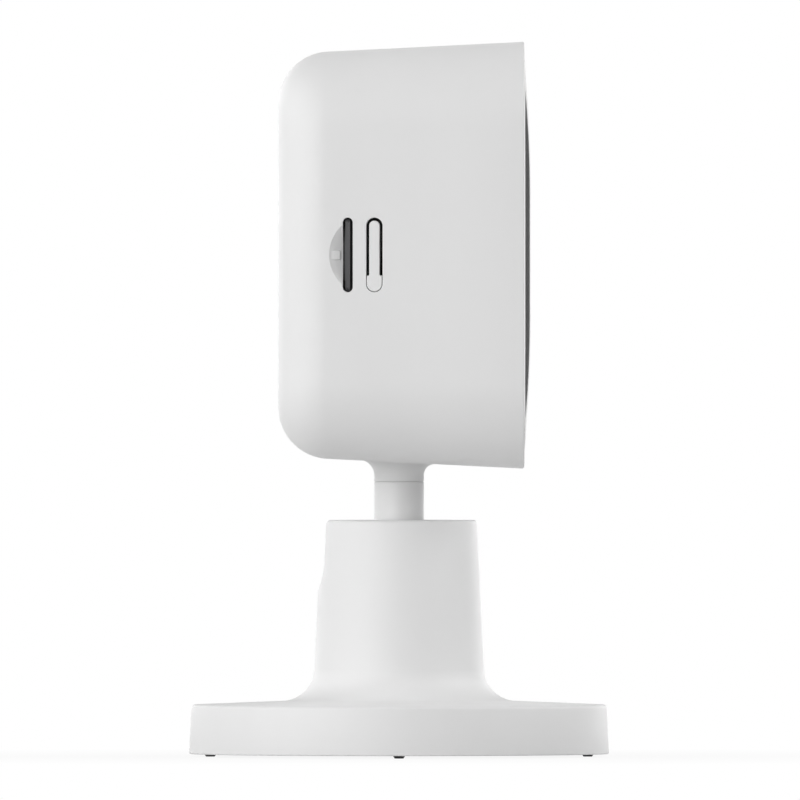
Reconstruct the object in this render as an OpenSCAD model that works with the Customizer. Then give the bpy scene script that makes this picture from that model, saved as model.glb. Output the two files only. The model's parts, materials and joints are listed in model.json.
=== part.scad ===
// Indoor security camera: a square head that swivels on a ball stand.
// The neck leans forward on the ball, or folds straight back into the slot of the
// stand, so that the same stand works on a table and on a wall.
// Z is up and the front faces -Y. The origin is under the middle of the stand,
// on the surface that its feet rest on.

/* [Head] */
// Width and height of the head at its front edge
head_side = 64; // [61:0.5:72]
// Depth of the head from its front edge to its back
head_depth = 36.9; // [36.2:0.1:44]
// Draft of the four walls, which narrow to the back
head_draft = 2.85; // [1:0.05:4]
// Radius of the four long corners at the front edge
head_corner_r = 13; // [10.5:0.5:16]
// Radius round the back edge
head_back_r = 7.2; // [4:0.1:9]
// Bevel along the front edge
head_edge = 0.3; // [0.1:0.05:0.6]
// Wall thickness round the front window
head_wall = 2; // [1.6:0.1:2.6]
// Wall thickness of the back
back_wall = 2; // [1.6:0.1:2.4]
// Step in the walls that the front frame seats on
frame_ledge = 0.6; // [0.4:0.1:1]
// Distance of the neck's axis behind the middle of the head's depth
neck_offset = 0.35; // [-1.4:0.05:0.8]

/* [Front] */
// How far the window bulges past the front edge
window_bulge = 0.95; // [0.5:0.05:1.4]
// Thickness of the window at its edge
window_edge = 1.5; // [1.2:0.1:2]
// Gap round the window and the front frame
window_gap = 0.15; // [0.1:0.05:0.3]
// Radius of the clear lens cover in the middle of the window
cover_r = 9; // [8.8:0.1:10]
// Thickness of the lens cover
cover_t = 1.2; // [0.8:0.1:1.5]
// Thickness of the front frame
frame_t = 1.5; // [1.2:0.1:2]
// Depth of the front frame's skirt behind the window
skirt_l = 5.5; // [5:0.1:7]
// Wall thickness of the front frame's skirt
skirt_t = 1.2; // [1:0.1:1.6]

/* [Lens] */
// Radius of the lens barrel's front
barrel_r = 7.2; // [6.8:0.1:7.4]
// Radius of the lens barrel's thread
barrel_thread_r = 6; // [5.5:0.1:6.2]
// Radius of the front lens
lens_r = 5.4; // [5:0.1:5.6]
// Length of the lens holder's tube
holder_tube = 5.8; // [4:0.1:6.5]
// Depth of the lens holder's box over the image sensor
holder_box = 6.5; // [6:0.1:8]
// Travel of the filter carriage from day to night
filter_travel = 7; // [6.6:0.1:7.4]
// Side of each filter pane
pane = 6; // [5:0.1:6.2]

/* [Boards] */
// Thickness of the main board
board_t = 1.2; // [0.8:0.1:1.6]
// Gap from the main board's edge to the walls
board_gap = 1.2; // [0.8:0.1:2]
// Side of the light board behind the front frame
light_side = 46; // [43:0.5:48]
// Thickness of the light board
light_t = 1; // [0.8:0.1:1.6]
// Length of the posts that carry the light board
light_post = 3.2; // [2.8:0.1:4]
// Distance of each infrared lamp from the lens axis, along both sides
lamp_xy = 13.5; // [12.5:0.1:14]
// Height of the status light below the lens axis
status_drop = 14.5; // [14:0.1:16]
// Height of the microphone below the lens axis
mic_drop = 20; // [19.6:0.1:21]

/* [Side] */
// Width of a memory card
card_w = 11; // [10.8:0.1:12]
// Length of a memory card
card_l = 15; // [14:0.1:16]
// Thickness of a memory card
card_t = 0.7; // [0.6:0.05:0.9]
// How far the card's end lies inside the wall
card_sunk = 0.35; // [0.1:0.05:0.8]
// Width of the card slot in the wall
slot_w = 1.5; // [1.3:0.05:1.8]
// Radius of the finger scoop's outline
scoop_r = 6; // [5:0.1:7]
// How far the finger scoop reaches past the slot
scoop_reach = 2.05; // [1:0.05:2.5]
// Width of the reset key's outline
key_w = 2.45; // [2.2:0.05:2.9]
// Gap beside the reset key's tongue
key_gap = 0.44; // [0.3:0.02:0.6]
// Length of the key's root, below its tongue
key_root = 2.5; // [2.3:0.1:3.5]
// Thickness of the reset key
key_t = 1.2; // [0.9:0.1:1.5]
// Travel of the reset switch's plunger
key_travel = 0.25; // [0.15:0.05:0.3]

/* [Back] */
// Radius of the speaker
speaker_r = 14; // [13:0.1:15]
// Gap between the shield can and the speaker
speaker_gap = 1.3; // [0.8:0.1:2]
// Height of the speaker's axis above the lens axis
speaker_rise = 7; // [6:0.1:7.5]
// Radius of each speaker hole
grille_hole_r = 0.55; // [0.4:0.05:0.8]
// Distance between speaker holes
grille_pitch = 2.2; // [1.8:0.1:2.6]
// Rings of speaker holes round the middle one
grille_rings = 3; // [2:1:4]
// Height of the power inlet below the lens axis
inlet_drop = 18; // [16:0.1:19]
// Width of the power inlet's shell
inlet_w = 8.94; // [8:0.02:9.5]
// Height of the power inlet's shell
inlet_h = 3.2; // [2.8:0.05:3.6]

/* [Neck] */
// Radius of the ball
ball_r = 6; // [5.6:0.1:6.4]
// Radius of the neck
neck_r = 3.75; // [3.2:0.05:4]
// Length of the neck from the ball's middle to the swivel seam
neck_l = 12.2; // [11.8:0.1:14]
// Height of the head's collar, from the seam to the underside
collar_h = 2.9; // [2.4:0.1:4]
// Radius of the flare where the collar meets the head
collar_flare = 1.9; // [1:0.1:2.4]
// Radius of the stud's shank in the head
shank_r = 2.3; // [2.2:0.05:2.6]
// Radius of the stud's thread
thread_r = 2; // [1.8:0.05:2.1]
// Radius of the boss round the shank
swivel_boss_r = 4.6; // [4.3:0.1:5]

/* [Stand] */
// Height of the stand's top
stand_h = 35.6; // [34:0.1:42]
// Radius of the pedestal's top
pedestal_r = 11.75; // [11.4:0.05:12.5]
// Draft of the pedestal's wall
pedestal_draft = 2.6; // [1:0.1:4]
// Radius of the hollow that leads into the disc
pedestal_fillet = 5; // [4:0.1:6.5]
// Radius of the disc at its foot
disc_r = 31.6; // [31.4:0.1:36]
// Height of the disc's rim
rim_h = 7.45; // [7:0.05:9]
// Draft of the rim
rim_draft = 2.5; // [0.5:0.1:4]
// Fall of the disc's top towards the rim, in degrees
disc_fall = 2.2; // [1:0.1:3]
// Wall thickness of the disc's top
disc_wall = 1.9; // [1.6:0.1:2.2]
// Wall thickness of the rim at its foot
rim_wall = 1.4; // [1.2:0.1:2]
// Radius of the top edges
edge_r = 0.6; // [0.3:0.05:0.7]
// Depth of the ball's top below the stand's top
ball_cover = 0.4; // [0.2:0.05:1]
// Gap beside the neck in the slot
slot_gap = 0.5; // [0.3:0.05:0.7]
// How far the neck leans forward, in degrees
lean = 25; // [10:1:28]

/* [Socket] */
// Radius of the bore that holds the socket cup
bore_r = 9.6; // [9.3:0.05:9.8]
// Height of the socket cup below the ball's middle
cup_h = 9; // [8.4:0.1:10]
// Thickness of a disc spring
spring_t = 0.5; // [0.3:0.05:0.7]
// Rise of a disc spring's cone
spring_rise = 0.7; // [0.4:0.05:0.9]
// Thickness of the retainer's flange
flange_t = 1.75; // [1.4:0.05:1.9]

/* [Base] */
// Thickness of the bottom plate
plate_t = 1.5; // [1.3:0.1:1.7]
// How far the rubber feet stand below the plate
foot_h = 0.4; // [0.3:0.05:0.8]
// Radius of a rubber foot at its top
foot_r = 0.9; // [0.8:0.05:1]
// Distance of the feet's middles from the disc's edge
foot_inset = 3.2; // [3.1:0.1:5]
// Radius of the ballast ring's bore, past half the disc's radius
ballast_bore = 5.7; // [5.4:0.1:8.2]
// Distance of the ballast ring from the disc's edge
ballast_inset = 2.6; // [2.3:0.1:3.6]
// Thickness of the ballast ring
ballast_t = 3.2; // [2.4:0.1:3.4]
// Distance of each keyhole from the middle, past half the disc's radius
keyhole_offset = 1.7; // [1.5:0.1:1.9]
// Radius of a keyhole's narrow end
keyhole_slot_r = 1.8; // [1.5:0.05:2]
// Radius of a keyhole's wide end
keyhole_head_r = 3.4; // [3:0.05:3.5]

/* [Hidden] */

$fn = 64;
arc_steps = 10;
run = 0.05;
seat = 0.1;
bite = 1;
far = 60;

// Head, in its own coordinates: y runs back from the front edge, z from the middle
slope = tan(head_draft);
head_half = head_side / 2;
corner_at = head_half - head_corner_r;
inner_wall = head_wall + frame_ledge;
back_in = head_depth - back_wall;
neck_setback = head_depth / 2 + neck_offset;
ledge_y = window_edge + skirt_l;
frame_half = head_half - head_wall - ledge_y * slope - window_gap;
frame_corner_r = frame_half - corner_at;
window_half = head_half - head_wall - window_edge * slope - window_gap;
window_corner_r = window_half - corner_at;
frame_back = window_edge + frame_t;
cover_seat_r = cover_r + run;
cover_ledge = 1;
tunnel_r = cover_r - 0.4;
tunnel_wall = 1.4;
snap_w = 8;
snap_y = frame_back + 1.2;
snap_l = 1.4;
snap_out = 0.45;

// Neck and stand heights
plate_z = foot_h;
pivot_z = stand_h - ball_cover - ball_r;
seam_z = pivot_z + neck_l;
head_z = seam_z + collar_h + head_half - neck_setback * slope;
seam_gap = 0.08;
collar_foot = seam_z - head_z;
underside = -(head_half - neck_setback * slope);
boss_rise = 3.5;
boss_top = underside + inner_wall + boss_rise;
swivel_bore_r = shank_r + run;
washer_r = swivel_boss_r - 0.1;
washer_t = 0.5;
wave_h = 0.9;
nut_flats = 7;
nut_h = 3.2;

// Main board and what stands on it
board_clear = 0.9;
board_y = neck_setback + swivel_boss_r + board_clear;
board_back = board_y + board_t;
board_half = side_half(inner_wall, board_back) - board_gap;
board_corner_r = max(board_half - corner_at, 3);
boss_at = corner_at + 1;
boss_r = 3;
pilot_r = 0.85;
screw_r = pilot_r - 0.02;
screw_head_r = 1.9;
screw_head_h = 1.2;
screw_l = 5;
can_side = 18;
can_at = [13, 3];
can_h = 1.8;
can_skin = 0.3;
can_in = can_side - 2 * can_skin;
can_corner_r = 1;
connector = [10, 1.2, 3];
ribbon_w = 8;
ribbon_t = 0.25;
ribbon_bow = 2;
connector_z = 17.5;

// Light board
light_y = frame_back + light_post;
light_back = light_y + light_t;
light_hole_r = tunnel_r + tunnel_wall + 0.2;
light_corner_r = 6;
light_screw_r = 1.5;
light_screw_h = 1;
post_at = 18.5;
post_r = 2;
post_pilot_r = 0.7;
lamp_r = 1.3;
lamp_base = 2.8;
lamp_base_h = 0.8;
lamp_window_r = 2.7;
pipe_r = 0.8;
pipe_flange_r = 1.4;
chip_h = 0.6;
mic_h = 1.1;
mic_port_r = 0.5;
boot_r = 1.7;

// Lens
lens_front = frame_back + 0.6;
holder_y = board_y - holder_box;
tube_y = holder_y - holder_tube;
barrel_shoulder = tube_y - 0.8;
barrel_end = holder_y - 0.4;
barrel_bore_r = lens_r - 0.8;
lens_seat = 1.6;
holder_wall = 1.1;
holder_half_x = 12.5;
holder_half_z = 8.3;
box_half_x = holder_half_x - holder_wall;
box_half_z = holder_half_z - holder_wall;
carriage_t = 0.8;
carriage_y = holder_y + holder_wall + seat;
carriage_half_z = box_half_z - seat;
carriage_edge = 0.8;
rail = 0.7;
rail_y = carriage_y + carriage_t + seat;
pane_t = 0.5;
coil = [4.4, 8];
coil_in = [2, 5.6];
coil_at = 8.2;
coil_h = 2.6;
coil_base = 0.6;
sensor_side = 9;
sensor_h = 1.4;

// Memory card, its socket and the reset key, on the -X side
socket_h = 1.85;
socket_w = 14.4;
socket_l = 14.4;
card_rise = 0.98;
card_y = board_back + card_rise;
card_out = side_half(0, card_y) - card_sunk;
socket_out = side_half(inner_wall, card_y) - 0.15;
channel_gap = 0.07;
slot_l = card_w + 2 * channel_gap;
grip_rise = 0.2;
grip_l = 1;
scoop_ball_r = 2 * scoop_r;
switch_h = 3.6;
switch_w = 6;
switch_l = 3.5;
switch_rise = switch_h / 2;
key_y = board_y - switch_rise;
key_clear = 0.08;
key_foot = -slot_l / 2;
key_hinge = key_foot + key_w / 2;
key_nub = 3;
key_nub_r = 0.6;
switch_out = board_half - 0.05;
plunger_out = 1;
plunger_in = 1;
plunger_r = 0.8;

// Speaker, antenna and power inlet
gasket_t = 0.8;
speaker_y = board_back + can_h + speaker_gap;
speaker_h = back_in - gasket_t - speaker_y;
speaker_lip = 1.1;
magnet_r = 8;
magnet_h = speaker_h * 6 / 11;
basket_foot = speaker_h * 16 / 55;
basket_shoulder = speaker_h * 32 / 55;
basket_ledge = speaker_h * 8 / 11;
basket_t = speaker_h * 2 / 11;
cone_valley = speaker_h * 36 / 55;
cone_rim = speaker_h * 4 / 5;
cone_dome_r = 2.5;
cone_valley_r = 4.2;
cone_t = 0.25;
speaker_rib = 1;
speaker_rib_r = speaker_r + 2 * seat + speaker_rib;
speaker_rib_l = 3.3;
antenna = [7, 28];
antenna_t = 0.2;
antenna_y = 12;
antenna_end = antenna_y + antenna[0];
inlet_sunk = 1;
inlet_skin = 0.3;
inlet_recess = [13, 7.5];
inlet_tongue = [6.7, 0.7];

// Stand
rim_top = plate_z + rim_h;
rim_top_r = disc_r - rim_h * tan(rim_draft);
disc_in = rim_top - disc_wall;
rim_in_r = disc_r - rim_wall;
slot_r = neck_r + slot_gap;
cup_r = bore_r - seat;
cup_top = pivot_z - seat;
cup_foot = pivot_z - cup_h;
cup_key = [1.5, 0.6];
spring_gap = 0.05;
spring_stack = 2 * (spring_t + spring_rise) + 3 * spring_gap;
spring_in_r = 3.2;
spring_out_r = bore_r - 1;
retainer_top = cup_foot - spring_stack;
retainer_wall = 2;
flange_r = 13.4;
flange_foot = disc_in - flange_t;
retainer_pcd_r = 11.8;
retainer_angles = [30, 150, 270];
retainer_screw_l = 4;
retainer_head_r = 1.6;
plate_top = plate_z + plate_t;
plate_r = rim_in_r - 0.2;
foot_at = disc_r - foot_inset;
ballast_out_r = disc_r - ballast_inset;
ballast_in_r = disc_r / 2 + ballast_bore;
keyhole_at = disc_r / 2 + keyhole_offset;
plate_screw_offset = 8.9;
plate_pcd_r = disc_r / 4 + plate_screw_offset;
plate_angles = [90, 230, 310];
plate_boss_r = 2.4;
plate_head_r = 1.7;
plate_screw_l = 3.4;
rib_count = 12;
rib_t = 1.2;
rib_foot = plate_top + ballast_t + seat;
rib_l = rim_in_r - plate_pcd_r - plate_boss_r + 0.5;
foot_tip_r = foot_r - 0.2;
foot_stem = 1;
keyhole_run = 5.5;

// ---------------------------------------------------------------- helpers

// Half the head's width inside an inset, at depth y
function side_half(inset, y) = head_half - inset - y * slope;

// Points along an arc
function arc(at, r, from, to, steps = arc_steps) =
    [for (i = [0:steps])
        let (a = from + (to - from) * i / steps)
        at + r * [cos(a), sin(a)]];

// Outline of a rounded rectangle, centred
function rounded(w, h, r) =
    concat(
        arc([w / 2 - r, h / 2 - r], r, 0, 90),
        arc([r - w / 2, h / 2 - r], r, 90, 180),
        arc([r - w / 2, r - h / 2], r, 180, 270),
        arc([w / 2 - r, r - h / 2], r, 270, 360)
    );

// Outline with round ends, w wide and l long along its second axis
function pill(w, l) = rounded(w, l, w / 2);

// Section of a closed block, from the corner axis out: front, draft, back radius
function wall_section(inset, back, front = 0, edge = 0) =
    let (
        r = head_corner_r - inset,
        back_r = head_back_r - inset,
        turn = head_depth - back - back_r,
        turn_at = r - turn * slope - back_r / cos(head_draft)
    )
    concat(
        [[r - edge - front * slope, front]],
        edge > 0 ? [[r - edge * slope, edge]] : [],
        arc([turn_at, turn], back_r, head_draft, 90)
    );

// Section of the pocket that the window and the front frame sit in
function pocket_section() =
    let (r = head_corner_r - head_wall)
    [[r, -bite], [r, 0], [r - ledge_y * slope, ledge_y]];

// A drafted block with long round corners, from the section of its walls
module head_form(section) {
    front = section[0][1];
    end = section[len(section) - 1][1];
    right = [for (p = section) [corner_at + p[0], p[1]]];
    left = [for (i = [len(section) - 1:-1:0]) [-corner_at - section[i][0], section[i][1]]];
    rotate([-90, 0, 0]) {
        for (turn = [0, 90])
            rotate([90, 0, turn])
                linear_extrude(2 * corner_at, center = true)
                    polygon(concat(right, left));
        for (turn = [0:90:270])
            rotate([0, 0, turn])
                translate([corner_at, corner_at, 0])
                    rotate_extrude(angle = 90)
                        polygon(concat([[0, front]], section, [[0, end]]));
    }
}

// Puts a child in the head's coordinates
module in_head() {
    translate([0, -neck_setback, head_z])
        children();
}

// Stands an outline up, from depth y1 to y2 of the head
module slab_y(y1, y2) {
    translate([0, y2, 0])
        rotate([90, 0, 0])
            linear_extrude(y2 - y1)
                children();
}

// A rod along the head's depth
module rod_y(r, y1, y2) {
    translate([0, y1, 0])
        rotate([-90, 0, 0])
            cylinder(r = r, h = y2 - y1);
}

// Turns a profile about a line along the head's depth
module turned_y() {
    rotate([-90, 0, 0])
        rotate_extrude()
            children();
}

// A rod along X
module rod_x(r, x1, x2) {
    translate([x1, 0, 0])
        rotate([0, 90, 0])
            cylinder(r = r, h = x2 - x1);
}

// An outline in the plane of the -X side, run from x1 to x2
module slab_x(x1, x2) {
    translate([x1, 0, 0])
        rotate([90, 0, 90])
            linear_extrude(x2 - x1)
                children();
}

// The layer of the -X wall between two insets, from y1 to y2
module wall_layer(outer, inner, y1, y2, height) {
    linear_extrude(height, center = true)
        polygon([
            [-side_half(outer, y1), y1],
            [-side_half(inner, y1), y1],
            [-side_half(inner, y2), y2],
            [-side_half(outer, y2), y2]
        ]);
}

// The four quarters of a square pattern
module corners(at) {
    for (x = [-at, at])
        for (z = [-at, at])
            translate([x, 0, z])
                children();
}

// A flat ring round Z
module ring(out_r, in_r, z1, z2) {
    translate([0, 0, z1])
        difference() {
            cylinder(r = out_r, h = z2 - z1);
            translate([0, 0, -bite])
                cylinder(r = in_r, h = z2 - z1 + 2 * bite);
        }
}

// Half of a rod, cut along its axis, from the ball's middle outwards
module half_rod(r) {
    linear_extrude(far)
        polygon(arc([0, 0], r, 180, 360, 2 * arc_steps));
}

// All the room that the neck sweeps, from the forward lean to folded back
module neck_sweep(r) {
    forward = [-sin(lean), cos(lean)];
    translate([0, 0, pivot_z]) {
        rotate([90, 0, 90])
            linear_extrude(2 * r, center = true)
                polygon([[0, 0], [far, 0], [far, far], far * forward]);
        rotate([lean, 0, 0])
            half_rod(r);
        rotate([-90, 0, 0])
            rotate([0, 0, 180])
                half_rod(r);
    }
}

// ------------------------------------------------------------------- head

// Row of rings of small holes over the speaker
module grille() {
    rod_y(grille_hole_r, back_in - bite, head_depth + bite);
    for (k = [1:grille_rings])
        for (i = [0:6 * k - 1])
            rotate([0, i * 360 / (6 * k), 0])
                translate([k * grille_pitch, 0, 0])
                    rod_y(grille_hole_r, back_in - bite, head_depth + bite);
}

// Recess and opening for the plug of the power lead
module inlet_cut() {
    slab_y(head_depth - inlet_sunk, head_depth + bite)
        polygon(rounded(inlet_recess[0], inlet_recess[1], inlet_recess[1] / 2));
    slab_y(back_in - bite, head_depth + bite)
        polygon(rounded(inlet_w + 2 * seat, inlet_h + 2 * seat, inlet_h / 2 + seat));
}

// Card slot with its finger scoop, in the -X wall
module card_cut() {
    scoop_y = card_y + slot_w / 2 + scoop_reach - scoop_r;
    translate([0, card_y, 0])
        slab_x(-head_half - bite, -socket_out)
            polygon(pill(slot_w, slot_l));
    intersection() {
        translate([-side_half(0, scoop_y) - sqrt(pow(scoop_ball_r, 2) - pow(scoop_r, 2)), scoop_y, 0])
            sphere(r = scoop_ball_r);
        translate([-head_half - bite, card_y, -scoop_r])
            cube([head_half, 2 * scoop_r, 2 * scoop_r]);
    }
}

// Opening that the reset key lies in
module key_cut() {
    translate([0, key_y, 0])
        slab_x(-head_half - bite, -side_half(inner_wall, key_y) + bite)
            polygon(pill(key_w, slot_l));
}

// Pockets in the walls for the front frame's snaps
module snap_pockets() {
    deep = side_half(head_wall, snap_y) + snap_out + seat;
    for (turn = [0:90:270])
        rotate([0, turn, 0])
            translate([deep - 2 * bite, snap_y - seat, -snap_w / 2 - seat])
                cube([2 * bite, snap_l + 2 * seat, snap_w + 2 * seat]);
}

// Collar, flare and boss round the stud's shank
module swivel_boss() {
    flare_r = neck_r + collar_flare;
    translate([0, neck_setback, 0])
        rotate_extrude()
            polygon(concat(
                [
                    [swivel_bore_r - run, collar_foot],
                    [neck_r - seat, collar_foot],
                    [neck_r, collar_foot + seat]
                ],
                arc([flare_r, underside - collar_flare], collar_flare, 180, 90),
                [
                    [flare_r, underside + bite],
                    [swivel_boss_r, underside + bite],
                    [swivel_boss_r, boss_top],
                    [swivel_bore_r - run, boss_top]
                ]
            ));
}

module head_shell() {
    color("white")
        in_head()
            difference() {
                union() {
                    difference() {
                        head_form(wall_section(0, 0, 0, head_edge));
                        head_form(wall_section(inner_wall, back_wall, ledge_y - seat));
                        head_form(pocket_section());
                    }
                    swivel_boss();
                    corners(boss_at)
                        rod_y(boss_r, board_back, back_in + bite);
                    translate([0, 0, speaker_rise])
                        difference() {
                            rod_y(speaker_rib_r, back_in - speaker_rib_l, back_in + bite);
                            rod_y(speaker_rib_r - speaker_rib, back_in - speaker_rib_l - bite, back_in);
                        }
                }
                translate([0, neck_setback, collar_foot - bite])
                    cylinder(r = swivel_bore_r, h = boss_top - collar_foot + 2 * bite);
                corners(boss_at)
                    rod_y(pilot_r, board_back - bite, back_in - bite);
                translate([0, 0, speaker_rise])
                    grille();
                translate([0, 0, -inlet_drop])
                    inlet_cut();
                card_cut();
                key_cut();
                snap_pockets();
            }
}

// Tray behind the window, snapped into the shell
module front_frame() {
    rim = frame_half - skirt_t;
    catch = side_half(head_wall, snap_y) + snap_out;
    color("dimgray")
        in_head()
            difference() {
                union() {
                    slab_y(window_edge, frame_back)
                        polygon(rounded(2 * frame_half, 2 * frame_half, frame_corner_r));
                    difference() {
                        slab_y(window_edge, ledge_y - run)
                            polygon(rounded(2 * frame_half, 2 * frame_half, frame_corner_r));
                        slab_y(window_edge - bite, ledge_y + bite)
                            polygon(rounded(2 * rim, 2 * rim, frame_corner_r - skirt_t));
                    }
                    for (turn = [0:90:270])
                        rotate([0, turn, 0])
                            linear_extrude(snap_w, center = true)
                                polygon([
                                    [rim + 0.2, snap_y],
                                    [catch, snap_y],
                                    [frame_half, snap_y + snap_l],
                                    [rim + 0.2, snap_y + snap_l]
                                ]);
                    rod_y(tunnel_r + tunnel_wall, window_edge, light_y - 3 * seat);
                    corners(post_at)
                        rod_y(post_r, window_edge, light_y);
                }
                rod_y(tunnel_r, window_edge - bite, light_y);
                corners(post_at)
                    rod_y(post_pilot_r, frame_back, light_y + bite);
                corners(lamp_xy)
                    rod_y(lamp_window_r, window_edge - bite, frame_back + bite);
                translate([0, 0, -status_drop])
                    rod_y(pipe_flange_r + seat, window_edge - bite, frame_back + bite);
                translate([0, 0, status_drop])
                    rod_y(pipe_flange_r + seat, window_edge - bite, frame_back + bite);
                translate([0, 0, -mic_drop])
                    rod_y(boot_r + run, window_edge - bite, frame_back + bite);
            }
}

// Outline of the bulged window, seen along the front
function bulge_outline() =
    let (
        across = window_half - cover_r,
        r = (pow(across, 2) + pow(window_bulge, 2)) / (2 * window_bulge),
        sweep = asin(across / r),
        right = arc([cover_r, r - window_bulge], r, 270, 270 + sweep)
    )
    concat(
        right,
        [[head_half, 0], [head_half, window_edge], [-head_half, window_edge], [-head_half, 0]],
        [for (i = [len(right) - 1:-1:0]) [-right[i][0], right[i][1]]]
    );

module front_window() {
    color("black")
        in_head()
            difference() {
                intersection() {
                    slab_y(-window_bulge - bite, window_edge)
                        polygon(rounded(2 * window_half, 2 * window_half, window_corner_r));
                    linear_extrude(head_side, center = true)
                        polygon(bulge_outline());
                    rotate([0, 90, 0])
                        linear_extrude(head_side, center = true)
                            polygon(bulge_outline());
                }
                rod_y(cover_seat_r, -window_bulge - bite, cover_t - window_bulge);
                rod_y(cover_r - cover_ledge, -bite, window_edge + bite);
                translate([0, 0, -status_drop])
                    rod_y(pipe_r + run, -2 * bite, window_edge + bite);
                translate([0, 0, -mic_drop])
                    rod_y(mic_port_r, -2 * bite, window_edge + bite);
            }
}

module lens_cover() {
    color("lightblue")
        in_head()
            rod_y(cover_r, -window_bulge, cover_t - window_bulge - run);
}

// Dark cone between the cover and the lens
module lens_baffle() {
    throat = cover_r - cover_ledge - seat;
    color("black")
        in_head()
            turned_y()
                polygon([
                    [throat - 0.4, cover_t - window_bulge],
                    [throat, cover_t - window_bulge],
                    [throat, window_edge],
                    [tunnel_r - run, window_edge],
                    [tunnel_r - run, lens_front - 0.3],
                    [lens_r + 0.8, lens_front - 0.3]
                ]);
}

// Front element of the lens, domed forwards
module lens_glass() {
    dome = 0.7;
    dome_r = (pow(lens_r, 2) + pow(dome, 2)) / (2 * dome);
    crown = lens_front + 0.2;
    color("skyblue")
        in_head()
            turned_y()
                polygon(concat(
                    arc([0, crown + dome_r], dome_r, 270, 270 + asin(lens_r / dome_r)),
                    [[lens_r, lens_front + lens_seat], [0, lens_front + lens_seat]]
                ));
}

module lens_barrel() {
    color("black")
        in_head()
            turned_y()
                polygon([
                    [lens_r + run, lens_front],
                    [barrel_r - 0.3, lens_front],
                    [barrel_r, lens_front + 0.3],
                    [barrel_r, barrel_shoulder],
                    [barrel_thread_r, barrel_shoulder],
                    [barrel_thread_r, barrel_end],
                    [barrel_bore_r, barrel_end],
                    [barrel_bore_r, lens_front + lens_seat],
                    [lens_r + run, lens_front + lens_seat]
                ]);
}

// Threaded tube on a box that covers the sensor and guides the filter carriage
module lens_holder() {
    color("darkslategray")
        in_head()
            difference() {
                union() {
                    slab_y(holder_y, board_y)
                        polygon(rounded(2 * holder_half_x, 2 * holder_half_z, 1));
                    rod_y(barrel_thread_r + 1.8, tube_y, holder_y + bite);
                }
                difference() {
                    translate([-box_half_x, holder_y + holder_wall, -box_half_z])
                        cube([2 * box_half_x, holder_box, 2 * box_half_z]);
                    for (side = [-1, 1])
                        translate([0, rail_y + rail / 2, side * box_half_z])
                            cube([holder_half_x * 2, rail, 2 * rail], center = true);
                }
                rod_y(barrel_thread_r + run, tube_y - bite, holder_y);
                rod_y(barrel_bore_r, tube_y - bite, holder_y + holder_wall + bite);
            }
}

module image_sensor() {
    color("midnightblue")
        in_head()
            slab_y(board_y - sensor_h, board_y)
                square([sensor_side, sensor_side], center = true);
}

// Coil that pulls the filter carriage across
module filter_coil() {
    color("peru")
        in_head()
            translate([coil_at, 0, 0])
                difference() {
                    slab_y(board_y - coil_h, board_y)
                        polygon(rounded(coil[0], coil[1], coil_base + 0.4));
                    slab_y(board_y - coil_h - bite, board_y - coil_base)
                        polygon(rounded(coil_in[0], coil_in[1], coil_base));
                }
}

// Places of the two panes in the carriage: day on the axis, night beside it
module pane_places() {
    for (x = [0, -filter_travel])
        translate([x, 0, 0])
            children();
}

module filter_carriage() {
    left = filter_travel + pane / 2 + carriage_edge;
    right = pane / 2 + carriage_edge;
    color("gray")
        in_head()
            difference() {
                translate([-left, carriage_y, -carriage_half_z])
                    cube([left + right, carriage_t, 2 * carriage_half_z]);
                pane_places()
                    translate([-pane / 2, carriage_y - bite, -pane / 2])
                        cube([pane, carriage_t + 2 * bite, pane]);
            }
}

module filter_panes() {
    color("lightcyan")
        in_head()
            pane_places()
                translate([0, carriage_y + carriage_t / 2, 0])
                    cube([pane, pane_t, pane], center = true);
}

module light_board() {
    color("darkgreen")
        in_head()
            difference() {
                slab_y(light_y, light_back)
                    polygon(rounded(light_side, light_side, light_corner_r));
                rod_y(light_hole_r, light_y - bite, light_back + bite);
                corners(post_at)
                    rod_y(post_pilot_r + seat, light_y - bite, light_back + bite);
            }
}

module light_board_screws() {
    color("silver")
        in_head()
            corners(post_at) {
                rod_y(post_pilot_r - 0.02, frame_back + 0.4, light_back + run);
                rod_y(light_screw_r, light_back, light_back + light_screw_h);
            }
}

module infrared_lamps() {
    color("darkred")
        in_head()
            corners(lamp_xy) {
                slab_y(light_y - lamp_base_h, light_y)
                    square([lamp_base, lamp_base], center = true);
                turned_y()
                    polygon(concat(
                        arc([0, light_y - lamp_base_h], lamp_r, 270, 360),
                        [[lamp_r, light_y - seat], [0, light_y - seat]]
                    ));
            }
}

module status_lamp() {
    color("yellow")
        in_head()
            translate([0, 0, -status_drop])
                slab_y(light_y - chip_h, light_y)
                    square([1.6, 0.8], center = true);
}

// Clear rod that carries the status light to the front
module light_pipe() {
    color("azure")
        in_head()
            translate([0, 0, -status_drop]) {
                rod_y(pipe_r, seat - window_bulge, light_y - chip_h - seat);
                rod_y(pipe_flange_r, window_edge + run, window_edge + bite);
            }
}

module light_sensor() {
    color("black")
        in_head()
            translate([0, 0, status_drop])
                slab_y(light_y - chip_h, light_y)
                    square([2, 2], center = true);
}

module microphone() {
    color("gold")
        in_head()
            translate([0, 0, -mic_drop])
                slab_y(light_y - mic_h, light_y)
                    square([3.8, 3], center = true);
}

// Rubber tube that seals the microphone to its hole
module microphone_boot() {
    color("black")
        in_head()
            translate([0, 0, -mic_drop])
                difference() {
                    rod_y(boot_r, window_edge + run, light_y - mic_h);
                    rod_y(mic_port_r, window_edge - bite, light_y);
                }
}

module main_board() {
    color("green")
        in_head()
            difference() {
                slab_y(board_y, board_back)
                    polygon(rounded(2 * board_half, 2 * board_half, board_corner_r));
                corners(boss_at)
                    rod_y(pilot_r + seat, board_y - bite, board_back + bite);
            }
}

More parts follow.
